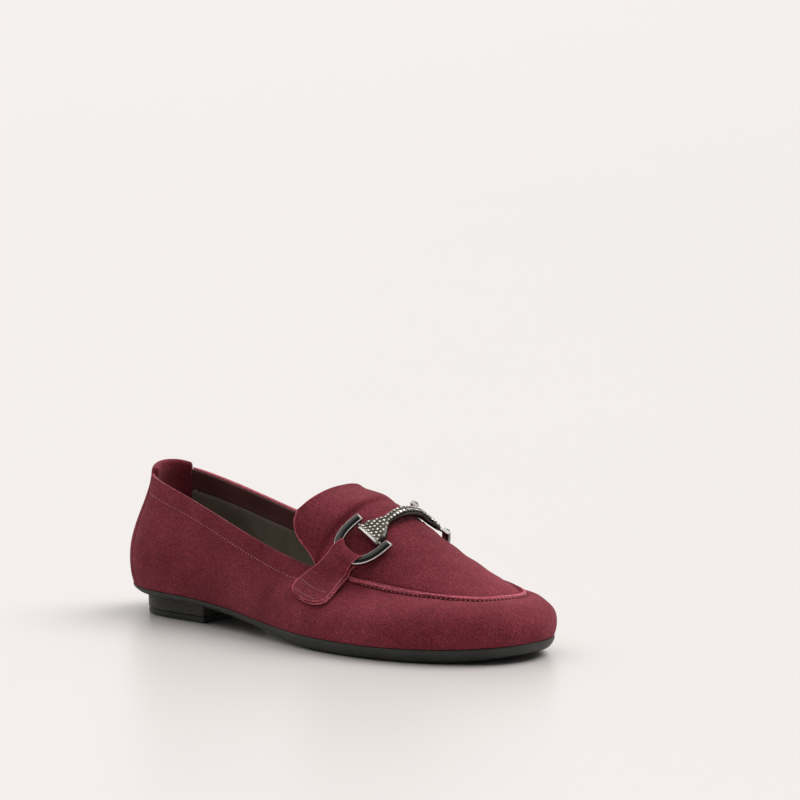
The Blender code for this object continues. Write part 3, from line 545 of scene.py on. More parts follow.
def along_line(points, pitch, start=0.0):
    """Points and directions at an even pitch along a polyline."""
    points = np.asarray(points, float)
    steps = np.linalg.norm(np.diff(points, axis=0), axis=1)
    length = np.concatenate([[0], np.cumsum(steps)])
    at = np.arange(start, length[-1] + 1e-9, pitch)
    spot = lambda at: np.stack([np.interp(at, length, points[:, k]) for k in range(3)], -1)
    return spot(at), unit(spot(at + pitch * 0.3) - spot(at - pitch * 0.3) + 1e-12)


def stitches(name, rows, size, paint):
    """Short stitches of thread; a row is its points and the surface directions there.

    size is a stitch's length, width and pitch.
    """
    length, width, pitch = size
    bm = bmesh.new()
    for line, outs in rows:
        spots, alongs = along_line(line, pitch, pitch / 2)
        share = np.linspace(0, 1, len(spots))
        for spot, along, k in zip(spots, alongs, share):
            out = outs[int(round(k * (len(outs) - 1)))]
            across = unit(np.cross(along, out))
            shape = bmesh.ops.create_uvsphere(bm, u_segments=8, v_segments=6, radius=0.5)["verts"]
            for vert in shape:
                x, y, z = vert.co
                bend = -0.35 * width * (2 * z) ** 2
                vert.co = Vector(spot + SHIFT + along * z * length + across * x * width
                                 + out * (y * width + bend))
    new_object(name, bm, (paint,), "shoe")


# ---------------------------------------------------------------- materials
class Paint:
    """A node material being built: a Principled shader and what feeds it."""

    def __init__(self, name, **sockets):
        self.made = bpy.data.materials.new(name)
        self.made.use_nodes = True
        self.tree = self.made.node_tree
        self.shader = self.tree.nodes["Principled BSDF"]
        for socket, value in sockets.items():
            self.shader.inputs[socket.replace("_", " ")].default_value = value
        self.place = self.node("ShaderNodeTexCoord").outputs["Object"]

    def node(self, kind, **settings):
        """A new node; a setting is one of its inputs' values, or a property of its own."""
        made = self.tree.nodes.new(kind)
        for key, value in settings.items():
            if key in made.inputs:
                made.inputs[key].default_value = value
            else:
                setattr(made, key, value)
        return made

    def join(self, source, target):
        """Links an output to an input."""
        self.tree.links.new(source, target)

    def noise(self, scale, detail=3.0, roughness=0.55, stretch=None):
        """Noise over the object, with bumps a given number to the metre."""
        made = self.node("ShaderNodeTexNoise", Scale=scale, Detail=detail, Roughness=roughness)
        place = self.place
        if stretch:
            turn = self.node("ShaderNodeMapping")
            turn.inputs["Scale"].default_value = stretch
            self.join(place, turn.inputs["Vector"])
            place = turn.outputs["Vector"]
        self.join(place, made.inputs["Vector"])
        return made.outputs["Fac"]

    def cells(self, scale):
        """Distance to the nearest of many scattered points, a given number to the metre."""
        made = self.node("ShaderNodeTexVoronoi", Scale=scale)
        self.join(self.place, made.inputs["Vector"])
        return made.outputs["Distance"]

    def ramp(self, value, stops):
        """Colours or greys by value, from (position, colour) stops."""
        made = self.node("ShaderNodeValToRGB")
        ramp = made.color_ramp
        while len(ramp.elements) < len(stops):
            ramp.elements.new(0.5)
        for element, (position, colour) in zip(ramp.elements, stops):
            element.position = position
            grey = (colour,) * 3 if isinstance(colour, (int, float)) else colour
            element.color = (*grey, 1)
        self.join(value, made.inputs["Fac"])
        return made.outputs["Color"]

    def shaded(self, share, colour, grey):
        """A colour multiplied by a grey, in the given share."""
        made = self.node("ShaderNodeMix", data_type="RGBA", blend_type="MULTIPLY")
        made.inputs[0].default_value = share
        self.join(colour, made.inputs[6])
        self.join(grey, made.inputs[7])
        return made.outputs[2]

    def bump(self, height, distance, strength=1.0):
        """Adds relief of a given depth, on top of what was added before."""
        made = self.node("ShaderNodeBump", Distance=distance, Strength=strength)
        self.join(height, made.inputs["Height"])
        socket = self.shader.inputs["Normal"]
        if socket.is_linked:
            self.join(socket.links[0].from_socket, made.inputs["Normal"])
        self.join(made.outputs["Normal"], socket)

    def colour(self, source):
        self.join(source, self.shader.inputs["Base Color"])

    def rough(self, value, low, high):
        """Roughness between low and high, by value."""
        made = self.node("ShaderNodeMapRange")
        made.inputs["To Min"].default_value = low
        made.inputs["To Max"].default_value = high
        self.join(value, made.inputs["Value"])
        self.join(made.outputs["Result"], self.shader.inputs["Roughness"])


def suede(name, dark, mid, light, sheen):
    """Napped leather: brushed patches, a fine nap that catches the light, and short fibres."""
    paint = Paint(name, Sheen_Weight=0.27, Sheen_Roughness=0.40, Sheen_Tint=(*sheen, 1),
                  Specular_IOR_Level=0.15)
    brushed = paint.noise(24, 5, 0.62)
    patches = paint.ramp(brushed, ((0.30, dark), (0.50, mid), (0.72, light)))
    nap = paint.noise(1300, 4, 0.9)
    grain = paint.ramp(nap, ((0.36, 0.44), (0.50, 0.92), (0.64, 2.3)))
    paint.colour(paint.shaded(0.9, patches, grain))
    paint.rough(nap, 0.82, 1.0)
    paint.bump(nap, 0.00045, 0.7)
    paint.bump(paint.noise(170, 3, 0.6), 0.0006, 0.12)
    return paint.made


def smooth_leather(name, dark, light, roughness):
    """Lining leather: soft mottling, fine pores and a dull shine."""
    paint = Paint(name, Specular_IOR_Level=0.35, Sheen_Weight=0.12)
    paint.colour(paint.ramp(paint.noise(60, 4), ((0.32, dark), (0.68, light))))
    pores = paint.cells(1400)
    paint.rough(pores, roughness + 0.08, roughness - 0.08)
    paint.bump(pores, 0.00012, 0.5)
    paint.bump(paint.noise(220, 3), 0.0003, 0.25)
    return paint.made


def rubber(name, dark, light, ribs=0.0):
    """Moulded rubber, with fine level ribs where asked for, a number to the metre."""
    paint = Paint(name, Specular_IOR_Level=0.45)
    cloud = paint.noise(70, 4)
    paint.colour(paint.ramp(cloud, ((0.30, dark), (0.72, light))))
    paint.rough(paint.noise(500, 3), 0.42, 0.62)
    paint.bump(paint.noise(1300, 3), 0.00010, 0.5)
    if ribs:
        split = paint.node("ShaderNodeSeparateXYZ")
        paint.join(paint.place, split.inputs[0])
        phase = paint.node("ShaderNodeMath", operation="MULTIPLY")
        phase.inputs[1].default_value = ribs * math.tau
        paint.join(split.outputs["Z"], phase.inputs[0])
        wave = paint.node("ShaderNodeMath", operation="SINE")
        paint.join(phase.outputs["Value"], wave.inputs[0])
        paint.bump(wave.outputs["Value"], 0.00022, 0.8)
    return paint.made


def tread_rubber(name):
    """Underside of the sole: shallow slanted bars, scuffed by use in patches."""
    paint = Paint(name, Specular_IOR_Level=0.4)
    wave = paint.node("ShaderNodeTexWave", wave_type="BANDS", bands_direction="DIAGONAL",
                      Scale=55.0, Distortion=0.0)
    paint.join(paint.place, wave.inputs["Vector"])
    bars = paint.ramp(wave.outputs["Fac"], ((0.40, 0.0), (0.55, 1.0)))
    dust = paint.noise(35, 4)
    paint.colour(paint.ramp(dust, ((0.35, (0.016, 0.017, 0.016)), (0.75, (0.040, 0.040, 0.037)))))
    paint.rough(dust, 0.55, 0.75)
    paint.bump(bars, 0.0005, 0.7)
    paint.bump(paint.noise(1200, 3), 0.0001, 0.5)
    return paint.made


def crystal(name, low, high):
    """Cut stone over a foil back, its tone wandering from stone to stone."""
    paint = Paint(name, Coat_Weight=0.7, Coat_Roughness=0.02, Metallic=0.75)
    paint.colour(paint.ramp(paint.noise(420, 2), ((0.36, low), (0.64, high))))
    paint.rough(paint.noise(2100, 1), 0.04, 0.20)
    paint.bump(paint.noise(900, 1), 0.00002, 0.3)
    return paint.made


def mottled(name, tone, stops, shine, reliefs=(), **sockets):
    """A material whose colour and roughness follow one noise.

    A relief is a noise, its depth and its strength.
    """
    paint = Paint(name, **sockets)
    cloud = paint.noise(*tone)
    paint.colour(paint.ramp(cloud, stops))
    paint.rough(cloud, *shine)
    for noise, distance, strength in reliefs:
        paint.bump(paint.noise(*noise), distance, strength)
    return paint.made


def metal(name, colour, low, high):
    """Plated metal with faint brushing and fingerprints in its shine."""
    worn = tuple(0.82 * part for part in colour)
    return mottled(name, (260, 3), ((0.35, worn), (0.65, colour)), (low, high),
                   [((1600, 2, 0.5, (1.0, 3.0, 3.0)), 0.00003, 0.4)], Metallic=1.0)


def enamel(name, colour):
    """Poured enamel: glass-like surface with the faintest orange peel."""
    paler = tuple(1.6 * part for part in colour)
    return mottled(name, (150, 2), ((0.3, colour), (0.7, paler)), (0.06, 0.14),
                   [((420, 2), 0.00004, 0.3)])


def thread(name, dark, light):
    """Twisted sewing thread."""
    return mottled(name, (2600, 2), ((0.35, dark), (0.65, light)), (0.55, 0.8),
                   [((2600, 2), 0.0001, 0.6)], Sheen_Weight=0.3)


def fibre(name, dark, light):
    """Pressed board, cork or stiffener."""
    return mottled(name, (700, 4, 0.7), ((0.35, dark), (0.68, light)), (0.8, 0.95),
                   [((700, 4, 0.7), 0.0002, 0.5)])


# ---------------------------------------------------------------- upper
def seam_relief(away, crease):
    """Height of one edge of the raised seam, by distance from the cut edge, and its crease's depth."""
    top = RIDGE * (1 - smoothstep(RIDGE_WIDE * 0.85, RIDGE_WIDE * 1.45, away))
    rounding = RIDGE * 0.40 * np.clip(1 - away / 0.00045, 0, 1) ** 2
    return top - rounding - crease * np.exp(-((away - RIDGE_WIDE * 1.6) / 0.0004) ** 2)


def edge_roll(away, width=0.0009, drop=0.00075):
    """Rounds a seam edge down over its last stretch."""
    return -drop * np.clip(1 - away / width, 0, 1) ** 2


def body_waves(grid, size=0.00022):
    """Slight unevenness of stretched leather, so that reflections aren't perfect."""
    x, y, z = grid[..., 0] * 100, grid[..., 1] * 100, grid[..., 2] * 100
    wave = np.sin(1.7 * x + 0.9 * y + 0.5) * np.sin(1.3 * y - 1.1 * z + 1.9 * x)
    return size * (wave + 0.5 * np.sin(4.1 * x - 2.3 * z) * np.sin(3.2 * y + 0.7))


def turned_under(t):
    """Points of the lasting margin, from its edge under the board out to the feather line."""
    return [feather(t, inset, GAP) for inset in (MARGIN, MARGIN * 0.5, EDGE_TURN)]


def skirt_surface():
    """Grid of the skirt's outer face, with its seams, and where it shows the raw edge's paint as a
    painted highlight.
    """
    heights = np.concatenate([np.linspace(0, 0.80, 34)[:-1], np.linspace(0.80, 1, 34)])
    t = round_toe(np.linspace(0, 1, 460)[:, None], heights, BACK_HALF)
    grid = wall(t, heights)
    normals = normals_of(grid)
    side = side_parameter(t)
    away = to_end(grid)
    ridge = smoothstep(*RIDGE_T, side[:, -1:])
    topline = 1 - smoothstep(5.9, 6.4, side[:, -1:])
    channel = -0.00022 * np.exp(-((away - TOPLINE_STITCH) / 0.0006) ** 2)
    padding = 0.00040 * np.sin(math.pi * np.clip(away / TOPLINE_STITCH, 0, 1)) ** 0.8
    behind = np.linalg.norm(grid - grid[:1], axis=2)
    before = np.linalg.norm(grid - grid[-1:], axis=2)
    relief = (ridge * seam_relief(away, 0.0009) + topline * (channel + padding)
              + edge_roll(behind) + edge_roll(before)
              + body_waves(grid) * smoothstep(0, WAVE_FADE, away) * np.minimum(1, heights * 8))
    grid[:, -1] += unit(grid[:, -2] - grid[:, -1]) * 0.00012
    # The mask paints the paler edge suede on the face as a highlight: a thin strip along the cut edges,
    # and the raised seam's top.
    return grid + normals * relief[..., None], away < EDGE_HIGHLIGHT + (ridge > 0.5) * RIDGE_WIDE * 0.85


def skirt(paints):
    """The skirt with its margin turned under the board; paints are its face and its raw edge, which
    also gives painted highlights.
    """
    grid, cut_edge_and_highlight = skirt_surface()
    margin = np.stack(turned_under(round_toe(np.linspace(0, 1, len(grid)), 0, BACK_HALF)), 1)
    whole = np.concatenate([margin, grid], 1)
    cut_edge_and_highlight = np.concatenate([np.zeros(margin.shape[:2], bool), cut_edge_and_highlight], 1)
    leather("skirt_suede", whole, SUEDE, paints, ("skirt",), flip=True, cut_edge_and_highlight=cut_edge_and_highlight)


def apron_surface():
    """Grid of the apron and tongue, with the seam round it, and where it shows the raw edge's paint as
    a painted highlight.
    """
    shares = np.concatenate([np.linspace(0, 1, 150) ** 1.5, 1 + np.linspace(0, 1, 46)[1:]])
    grid = apron_rows(shares, 111)
    normals = softened(-normals_of(grid))
    for corner in (grid[0, 0], grid[0, -1]):
        distance = np.linalg.norm(grid - corner, axis=2)[..., None]
        nearby = np.abs(distance[..., 0] - CORNER_REACH - 0.0005) < 0.001
        typical = unit(np.mean(normals[nearby], axis=0))
        share = np.exp(-(distance / CORNER_REACH) ** 2)
        normals = unit(normals * (1 - share) + typical * share)
    border = np.concatenate([grid[:, 0], grid[-1], grid[::-1, -1], grid[0, ::-1]])
    border = along_line(border, 0.00015)[0]
    nearest = np.array([np.min(np.linalg.norm(row[:, None] - border[None], axis=2), axis=1)
                        for row in grid])
    seam_t = CORNER_T + (SEAM_T - CORNER_T) * np.minimum(shares, 1)
    ridge = smoothstep(*RIDGE_T, seam_t)[:, None]
    free = smoothstep(1.35, 1.6, shares)[:, None]
    curl = CURL * free * np.clip(1 - nearest / CURL_WIDE, 0, 1) ** 2
    waves = body_waves(grid) * smoothstep(0, WAVE_FADE, nearest)
    relief = ridge * seam_relief(nearest, 0.0002) + curl + waves
    # The mask paints the paler edge suede on the face as a highlight: a thin strip along every edge,
    # and the raised seam's top.
    return grid + normals * relief[..., None], nearest < EDGE_HIGHLIGHT + (ridge > 0.5) * RIDGE_WIDE * 0.4


def apron(paints):
    grid, cut_edge_and_highlight = apron_surface()
    leather("apron_suede", grid, SUEDE, paints, ("apron",), cut_edge_and_highlight=cut_edge_and_highlight)


def apron_lining(paint):
    shares = np.concatenate([np.linspace(0.03, 1, 40), 1 + np.linspace(0, 1, 24)[1:]])
    grid = apron_rows(shares, 61)
    inner = (grid + normals_of(grid) * (SUEDE + GAP))[:, 3:-3]
    leather("tongue_lining", inner, LINING, (paint,), ("apron_lining",))


def tab_frame(t):
    """Centre of the roll over the heel tab, and the up and inward directions there."""
    top = wall(t, 1.0)
    up = unit(top - wall(t, 0.93))
    inwards = unit(wall_at(t, 0.98, 0.001) - wall(t, 0.98))
    return top + up * (TAB_RISE - TAB_RADIUS) + inwards * TAB_RADIUS, up, inwards


def back_strip_surface():
    """Outer face of the heel strip, over the tab and down inside as the heel grip."""
    heights = np.concatenate([np.linspace(0, 0.9, 30)[:-1], np.linspace(0.9, 1, 10)])
    grid = []
    for share in np.linspace(-1, 1, 61):
        t = share * (back_seam(0) - BACK_HALF)
        line = turned_under(np.array(t))
        line += list(wall(share * (back_seam(heights) - BACK_HALF), heights))
        t = share * (back_seam(1) - BACK_HALF)
        centre, up, inwards = tab_frame(t)
        for angle in np.linspace(0, math.pi, 13):
            line.append(centre + (up * math.sin(angle) - inwards * math.cos(angle)) * TAB_RADIUS)
        bottom = wall_v(np.array([t]), GRIP_FOOT)[0]
        for v in np.linspace(0.97, bottom, 24):
            line.append(wall_at(t, v, lining_depth(t, v) + LINING + GAP + SUEDE))
        grid.append(line)
    return np.array(grid)


def back_strip(paints):
    """The heel strip with its long edges rolled down against the skirt's."""
    grid = back_strip_surface()
    normals = normals_of(grid)
    side = np.minimum(np.linalg.norm(grid - grid[:1], axis=2), np.linalg.norm(grid - grid[-1:], axis=2))
    relief = edge_roll(side) + body_waves(grid, 0.00015)
    relief[:, :5] = 0
    whole = grid + normals * relief[..., None]
    leather("back_strip_suede", whole, SUEDE, paints, ("back_strip",), flip=True)


def tab_core(paint):
    """Rolled filling inside the fold of the heel tab, seen at its ends."""
    span = (back_seam(1) - BACK_HALF) * 0.985
    path, ups, across = zip(*(tab_frame(t) for t in np.linspace(-span, span, 41)))
    half, deep = TAB_RADIUS - SUEDE * 0.5, TAB_RADIUS
    shape = [(half * math.cos(g), half * math.sin(g) - (deep if math.sin(g) < 0 else 0))
             for g in (np.arange(16) + 0.5) * math.tau / 16]
    swept("heel_tab_core", path, across, ups, [shape] * len(path), (paint,), (),
          body="shoe")


def wall_layer(name, start, stop, rows, low, high, columns, paint):
    """A layer inside the wall; low and high give the v of its edges at each t."""
    ts = np.linspace(start, stop, rows)
    lows, highs = low(ts), high(ts)
    vs = lows[:, None] + (highs - lows)[:, None] * np.linspace(0, 1, columns)
    tt = np.repeat(ts[:, None], columns, 1)
    grid = wall_at(tt, vs, lining_depth(tt, vs))
    leather(name + "_leather", grid, LINING, (paint,), (name,), flip=True)


def linings(taupe, facing):
    foot = lambda ts: wall_v(ts, LINING_FOOT)
    edge = lambda ts: height_v(ts, FACING)
    behind = lambda ts: edge(ts) - 0.003
    level = lambda value: (lambda ts: np.full(len(ts), value))
    for label, start in (("lateral", 0.02), ("medial", LOOP - QUARTER_T)):
        wall_layer("quarter_lining_" + label, start, start + QUARTER_T - 0.02, 90, foot, behind, 16,
                   taupe)
    start = QUARTER_T + 0.05
    wall_layer("vamp_lining", start, LOOP - start, 110, foot, level(0.95), 14, taupe)
    wall_layer("topline_facing", -QUARTER_T, QUARTER_T, 200, edge, level(FACING_TOP), 9, facing)


def line_below(surface, away):
    """Points at a distance below the top edge of a surface's rows, and its directions there."""
    distance = to_end(surface)
    line = np.array([[np.interp(-away, -row, points[:, k]) for k in range(3)]
                     for row, points in zip(distance, surface)])
    column = np.argmin(np.abs(distance[len(distance) // 2] - away))
    return line, normals_of(surface)[:, column]


def skirt_stitches(paint):
    """Stitch rows under the topline on both sides, and in the crease of the raised seam."""
    surface, _ = skirt_surface()
    t = round_toe(np.linspace(0, 1, len(surface)), 1, BACK_HALF)
    line, outs = line_below(surface, TOPLINE_STITCH)
    sides = [t < 6.25, t > LOOP - 6.25]
    stitches("topline_stitching", [(line[pick][1:-1], outs[pick][1:-1]) for pick in sides],
             TOPLINE_THREAD, paint)
    front = (t > RIDGE_T[1]) & (t < LOOP - RIDGE_T[1])
    line, outs = line_below(surface, RIDGE_WIDE * 1.6 + 0.0009)
    stitches("seam_stitching", [(line[front], outs[front])], SEAM_THREAD, paint)


# ---------------------------------------------------------------- inside and bottom
def sock(paint):
    """Padded sock: crowned between its edges, dished under the heel, with a rolled rim."""
    lift = GAP + SUEDE + GAP + BOARD + GAP
    ts = 0.02 + (TOE - 0.04) * (0.5 - 0.5 * np.cos(np.linspace(0, math.pi, 170)))
    across = np.linspace(-1, 1, 41)
    grid = []
    for t in ts:
        near, far = feather(t, SOCK_INSET), feather(LOOP - t, SOCK_INSET)
        middle, half = (near + far) / 2, (far - near) / 2
        inside = 1 - across ** 2
        rise = SOCK * (0.72 + 0.28 * np.minimum(1, inside * 6) ** 0.5)
        dish = sum(depth * math.exp(-((middle[0] - place) / reach) ** 2)
                   for place, reach, depth in SOCK_DISHES)
        line = middle + across[:, None] * half
        line[:, 2] = feather_height(line[:, 0]) + lift + rise - dish * inside
        grid.append(line)
    made = leather("padded_sock", np.array(grid), SOCK * 0.62, (paint,), ("sock_lining",),
                   rounding=0.0006)


def outline(ts, inset, tuck, height):
    """Closed outline of a bottom layer at an inset, tucked further in round the heel."""
    side = side_parameter(ts)
    back = 1 - smoothstep(0.3, 2.6, side)
    flat = plan(ts) - plan_normal(ts) * (inset + tuck * back)[..., None]
    return np.array([(x, y, height(x)) for x, y in flat])


def between(share):
    """Height a share of the way down the sole's edge, by distance along the shoe."""
    return lambda x: float((1 - share) * feather_height(x) + share * tread_height(x))


def outsole(paint, tread):
    ts = (np.arange(320) + 0.5) / 320 * LOOP
    edge = ((0.0030, 0.0, 0.0), (-0.0002, 0.0, 0.0), (-0.0004, 0.0002, 0.05), (-0.0002, 0.0008, 0.25),
            (0.0003, 0.0016, 0.45), (0.0010, 0.0026, 0.66), (0.0018, 0.0034, 0.82),
            (0.0026, 0.0039, 0.93), (0.0036, 0.0042, 0.985), (0.0046, 0.0043, 1.0))
    levels = [outline(ts, np.full(len(ts), inset), tuck, between(share)) for inset, tuck, share in edge]
    made = ringed("outsole_rubber", levels, (paint, tread), ("outsole",))
    for face in made.data.polygons:
        if face.normal.z < -0.93:
            face.material_index = 1


def heel(name, levels, paint, nodes):
    """A heel layer: round the back, and straight across at the breast."""
    ts = np.linspace(-BREAST_T, BREAST_T, 121)
    outlines = [outline(ts, np.full(len(ts), inset), HEEL_TUCK, height) for inset, height in levels]
    ringed(name, outlines, (paint,), nodes, sharp=40)


def heel_pieces(ribbed, plain):
    base = TOP_PIECE + GAP
    under = lambda x: float(tread_height(x)) - GAP
    level = lambda height: (lambda x: height)
    heel("heel_stack", ((0.0054, under), (0.0056, level(base + 0.0003)), (0.0059, level(base))),
         ribbed, ("heel_block",))
    heel("heel_lift", ((0.0061, level(TOP_PIECE)), (0.0058, level(TOP_PIECE - 0.0003)),
                       (0.0059, level(0.0005)), (0.0064, level(0.0))), plain, ("heel_top_piece",))


# ---------------------------------------------------------------- straps and snaffle bit
def ring_drop(along):
    """How far the middle of the band lies below the pin, and its slope there."""
    half, deep = RING_HALF - BAND / 2, RING_DEEP - BAND / 2
    part = (abs(along) / half) ** (2 / ROUND)
    drop = deep * (1 - part) ** (ROUND / 2)
    return drop, drop / (1 - part) * part / max(abs(along), 1e-6)


def laid(side, point, lift, below):
    """Settles a point of the strap's loop onto the upper, the more the further below the fold."""
    foot, normal = side.under(point[[0, 2]])
    height = float(np.dot(point - foot, normal))
    share = float(smoothstep(0.0040, 0.0095, below))
    return point + normal * (max(height + (lift - height) * share, lift) - height)


def tab_row(side, share, lift, wider):
    """A row across the strap's sewn tab: share runs from the fold's side (0) to its end (1)."""
    end, fold = np.array(STRAP_END[side.sign]), side.fold[[0, 2]]
    down = unit(end - fold)
    square = np.array([-down[1], down[0]])
    length = float(np.linalg.norm(end - fold))
    turn = float(smoothstep(0.1, 0.75, share))
    beside = unit(square * (1 - turn) + np.array([1.0, -0.20]) * turn)
    rounding = math.sqrt(1 - max(0, (share - 0.74) / 0.26) ** 2.4 * 0.97)
    half = (STRAP_NARROW + (STRAP_WIDE - STRAP_NARROW) * min(1, share / 0.75)) * rounding + wider
    row = []
    for a in STRAP_COLUMNS:
        top = math.sqrt(TAB_TOP ** 2 - (a * 0.0080) ** 2)
        place = fold + down * (top + (length + wider - top) * share) + beside * a * half
        row.append(side.lifted(place, lift))
    return row


def strap_surface(side):
    """Rows from the sewn end up over the ring's band and back down underneath."""
    shares = 1 - np.linspace(0, 1, 44) ** 1.6
    rise = lambda share, height: height * float(1 - smoothstep(0.35, 0.8, share))
    rows = [tab_row(side, share, ABOVE + rise(share, 0.0014), 0.0) for share in shares]
    thick = BAND_THICK / 2 + 0.0004 + STRAP_THICK
    snug = BAND_THICK / 2 + GAP + STRAP_THICK
    places = []
    for a in STRAP_COLUMNS * STRAP_NARROW:
        drop, slope = ring_drop(a * 0.85)
        middle = side.at(a, -drop, 0)
        wire = (BAND / 2 + 0.0004) * math.hypot(1, slope) + STRAP_THICK
        low = math.sqrt(LOOP_TOP ** 2 - a ** 2) + RING_DEEP - BAND / 2 - drop
        line = [laid(side, middle - side.up * below + side.out * thick, LOOP_ABOVE, below)
                for below in np.linspace(low, 0, 7)[:-1]]
        for angle in np.linspace(0.03, 0.97, 17) * math.pi:
            over = wire * math.sin(angle) ** 0.7
            away = math.copysign(abs(math.cos(angle)) ** 0.7, math.cos(angle))
            point = middle + side.up * over + side.out * away * (thick if away > 0 else snug)
            line.append(laid(side, point, LOOP_BENEATH, 0) if away < 0 else point)
        line += [laid(side, middle - side.up * below - side.out * snug, LOOP_BENEATH, below)
                 for below in np.linspace(0, low, 7)[1:]]
        places.append(line)
    rows += list(np.array(places).transpose(1, 0, 2))
    rows += [tab_row(side, share, BENEATH + rise(share, 0.0008), 0.0006) for share in shares[::-1]]
    grid = np.array(rows)
    fixed = len(shares)
    for _ in range(6):
        inner = (grid[:-2] + 2 * grid[1:-1] + grid[2:]) / 4
        grid[1:fixed + 5] = inner[:fixed + 4]
        grid[-fixed - 5:-1] = inner[-fixed - 4:]
    bend = slice(fixed - 14, fixed + 4)
    for _ in range(16):
        grid[bend] = (grid[fixed - 15:fixed + 3] + 2 * grid[bend] + grid[fixed - 13:fixed + 5]) / 4
    return grid


def strap(side, label, paints, sewing):
    """A strap: sewn to the shoe at its tab, and following the bit at its fold."""
    grid = strap_surface(side)
    away = np.minimum(to_end(grid), to_end(grid[:, ::-1])[:, ::-1])
    turned = grid.transpose(1, 0, 2)
    away = np.minimum(away, np.minimum(to_end(turned), to_end(turned[:, ::-1])[:, ::-1]).T)
    nodes = ("strap_" + label, "strap_loop_" + label)
    # The paler edge suede along the strap's edges is a painted highlight.
    made = leather("strap_%s_suede" % label, grid, STRAP_THICK, paints, nodes,
                   flip=side.sign > 0, body=None, cut_edge_and_highlight=away < EDGE_HIGHLIGHT)
    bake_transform(made)
    outs = normals_of(grid) * (1 if side.sign > 0 else -1)
    rows = [(grid[row, 8:-8], outs[row, 8:-8]) for row in (10, 21)]
    stitches("strap_%s_stitching" % label, rows, STRAP_THREAD, sewing)


def ring_path(side, count, inset):
    """Centre line of the C-shaped ring, and the direction across the band at each point."""
    half, deep = RING_HALF - inset, RING_DEEP - inset
    angles = np.linspace(-0.16, math.pi + 0.16, count)
    flat = [(half * math.copysign(abs(math.cos(angle)) ** ROUND, math.cos(angle)),
             -deep * math.copysign(abs(math.sin(angle)) ** ROUND, math.sin(angle))) for angle in angles]
    path = np.array([side.at(a, b, 0) for a, b in flat])
    along = unit(np.gradient(path, axis=0))
    return path, unit(np.cross(along, side.out))


def ring(side, label, dark, bright, inlay):
    """The dark-plated ring with bevelled edges, painted bright as highlights along with its ends, and
    the enamel lying between them.
    """
    path, across = ring_path(side, 120, BAND / 2)
    out = [side.out] * len(path)
    (groove, deep), w, t = GROOVE, BAND / 2, BAND_THICK / 2
    half = ((groove, t - deep), (groove, t - 0.00004), (groove + 0.00006, t), (groove + 0.00020, t),
            (w - 0.00018, t - 0.00020), (w - 0.00004, t - 0.00045), (w, t - 0.0007),
            (w, -t + 0.0006), (w - 0.0002, -t + 0.0002), (w - 0.0006, -t))
    ends = np.minimum(np.arange(len(path)), np.arange(len(path))[::-1])
    outlines = []
    for end in ends:
        size = 1 - 0.10 * max(0, 1 - end / 3) ** 2
        shape = [(-a, b) for a, b in half] + [(a, b) for a, b in half[::-1]]
        outlines.append([(a * size, b * size) for a, b in shape])
    made = swept("ring_%s_plated" % label, path, across, out, outlines, (dark, bright),
                 ("ring_" + label,), sharp=24)
    sides = len(outlines[0])
    for number, face in enumerate(made.data.polygons):
        segment, strip = divmod(number, sides)
        # Bevel strips and end segments take the bright plate: painted highlights on the dark-plated
        # ring.
        bevel = 1 <= strip <= 5 or sides - 7 <= strip <= sides - 3
        if bevel or segment < 1 or segment >= len(path) - 2:
            face.material_index = 1
    inner = path[2:-2]
    g, low = groove - 0.00003, t - deep
    shape = [(-g, low)] + [(g * a, t - 0.0001 + 0.0007 * (1 - a * a) ** 0.8)
                           for a in np.linspace(-1, 1, 11)] + [(g, low)]
    swept("ring_%s_enamel" % label, inner, across[2:-2], out[2:-2], [shape] * len(inner), (inlay,),
          ("ring_enamel_" + label,), sharp=60)


def bar_lines(sides, tree):
    """Centre line of the bar over the vamp, with its half width and half depth."""
    outer, inner = sides
    flare = RING_HALF - BAND - 0.0016
    spans = ((0.0, flare, 0.0017), (0.10, flare * 0.93, 0.0018), (0.20, 0.0036, 0.0019),
             (0.27, 0.0024, 0.0019), (0.38, 0.0027, 0.0021), (0.50, 0.0028, 0.0022))
    spans = spans + tuple((1 - at, width, deep) for at, width, deep in spans[-2::-1])
    core = (outer.pin + inner.pin) / 2 * (1, 1, 0) + (0, 0, 0.035)
    turns = [math.atan2(side.pin[1] - core[1], side.pin[2] - core[2]) for side in sides]
    points = []
    for at, _, deep in spans:
        point = outer.pin * (1 - at) + inner.pin * at
        if 0 < at < 1:
            turn = turns[0] * (1 - at) + turns[1] * at
            away = np.array([0, math.sin(turn), math.cos(turn)])
            start = core * (0, 1, 1) + (point[0], 0, 0) + away * 0.1
            hit, normal, _, _ = tree.ray_cast(Vector(start), Vector(-away))
            normal = np.array(normal) * math.copysign(1, normal[2])
            clear = BAR_OVER[int(at >= 0.6)] + BAR_ARCH * math.sin(math.pi * at) ** 4
            point = np.array(hit) + normal * (deep + clear)
        points.append(point)
    count = 121
    sizes = smooth_curve([row[1:] for row in spans], count)
    return smooth_curve(points, count), sizes[:, 0], sizes[:, 1], flare


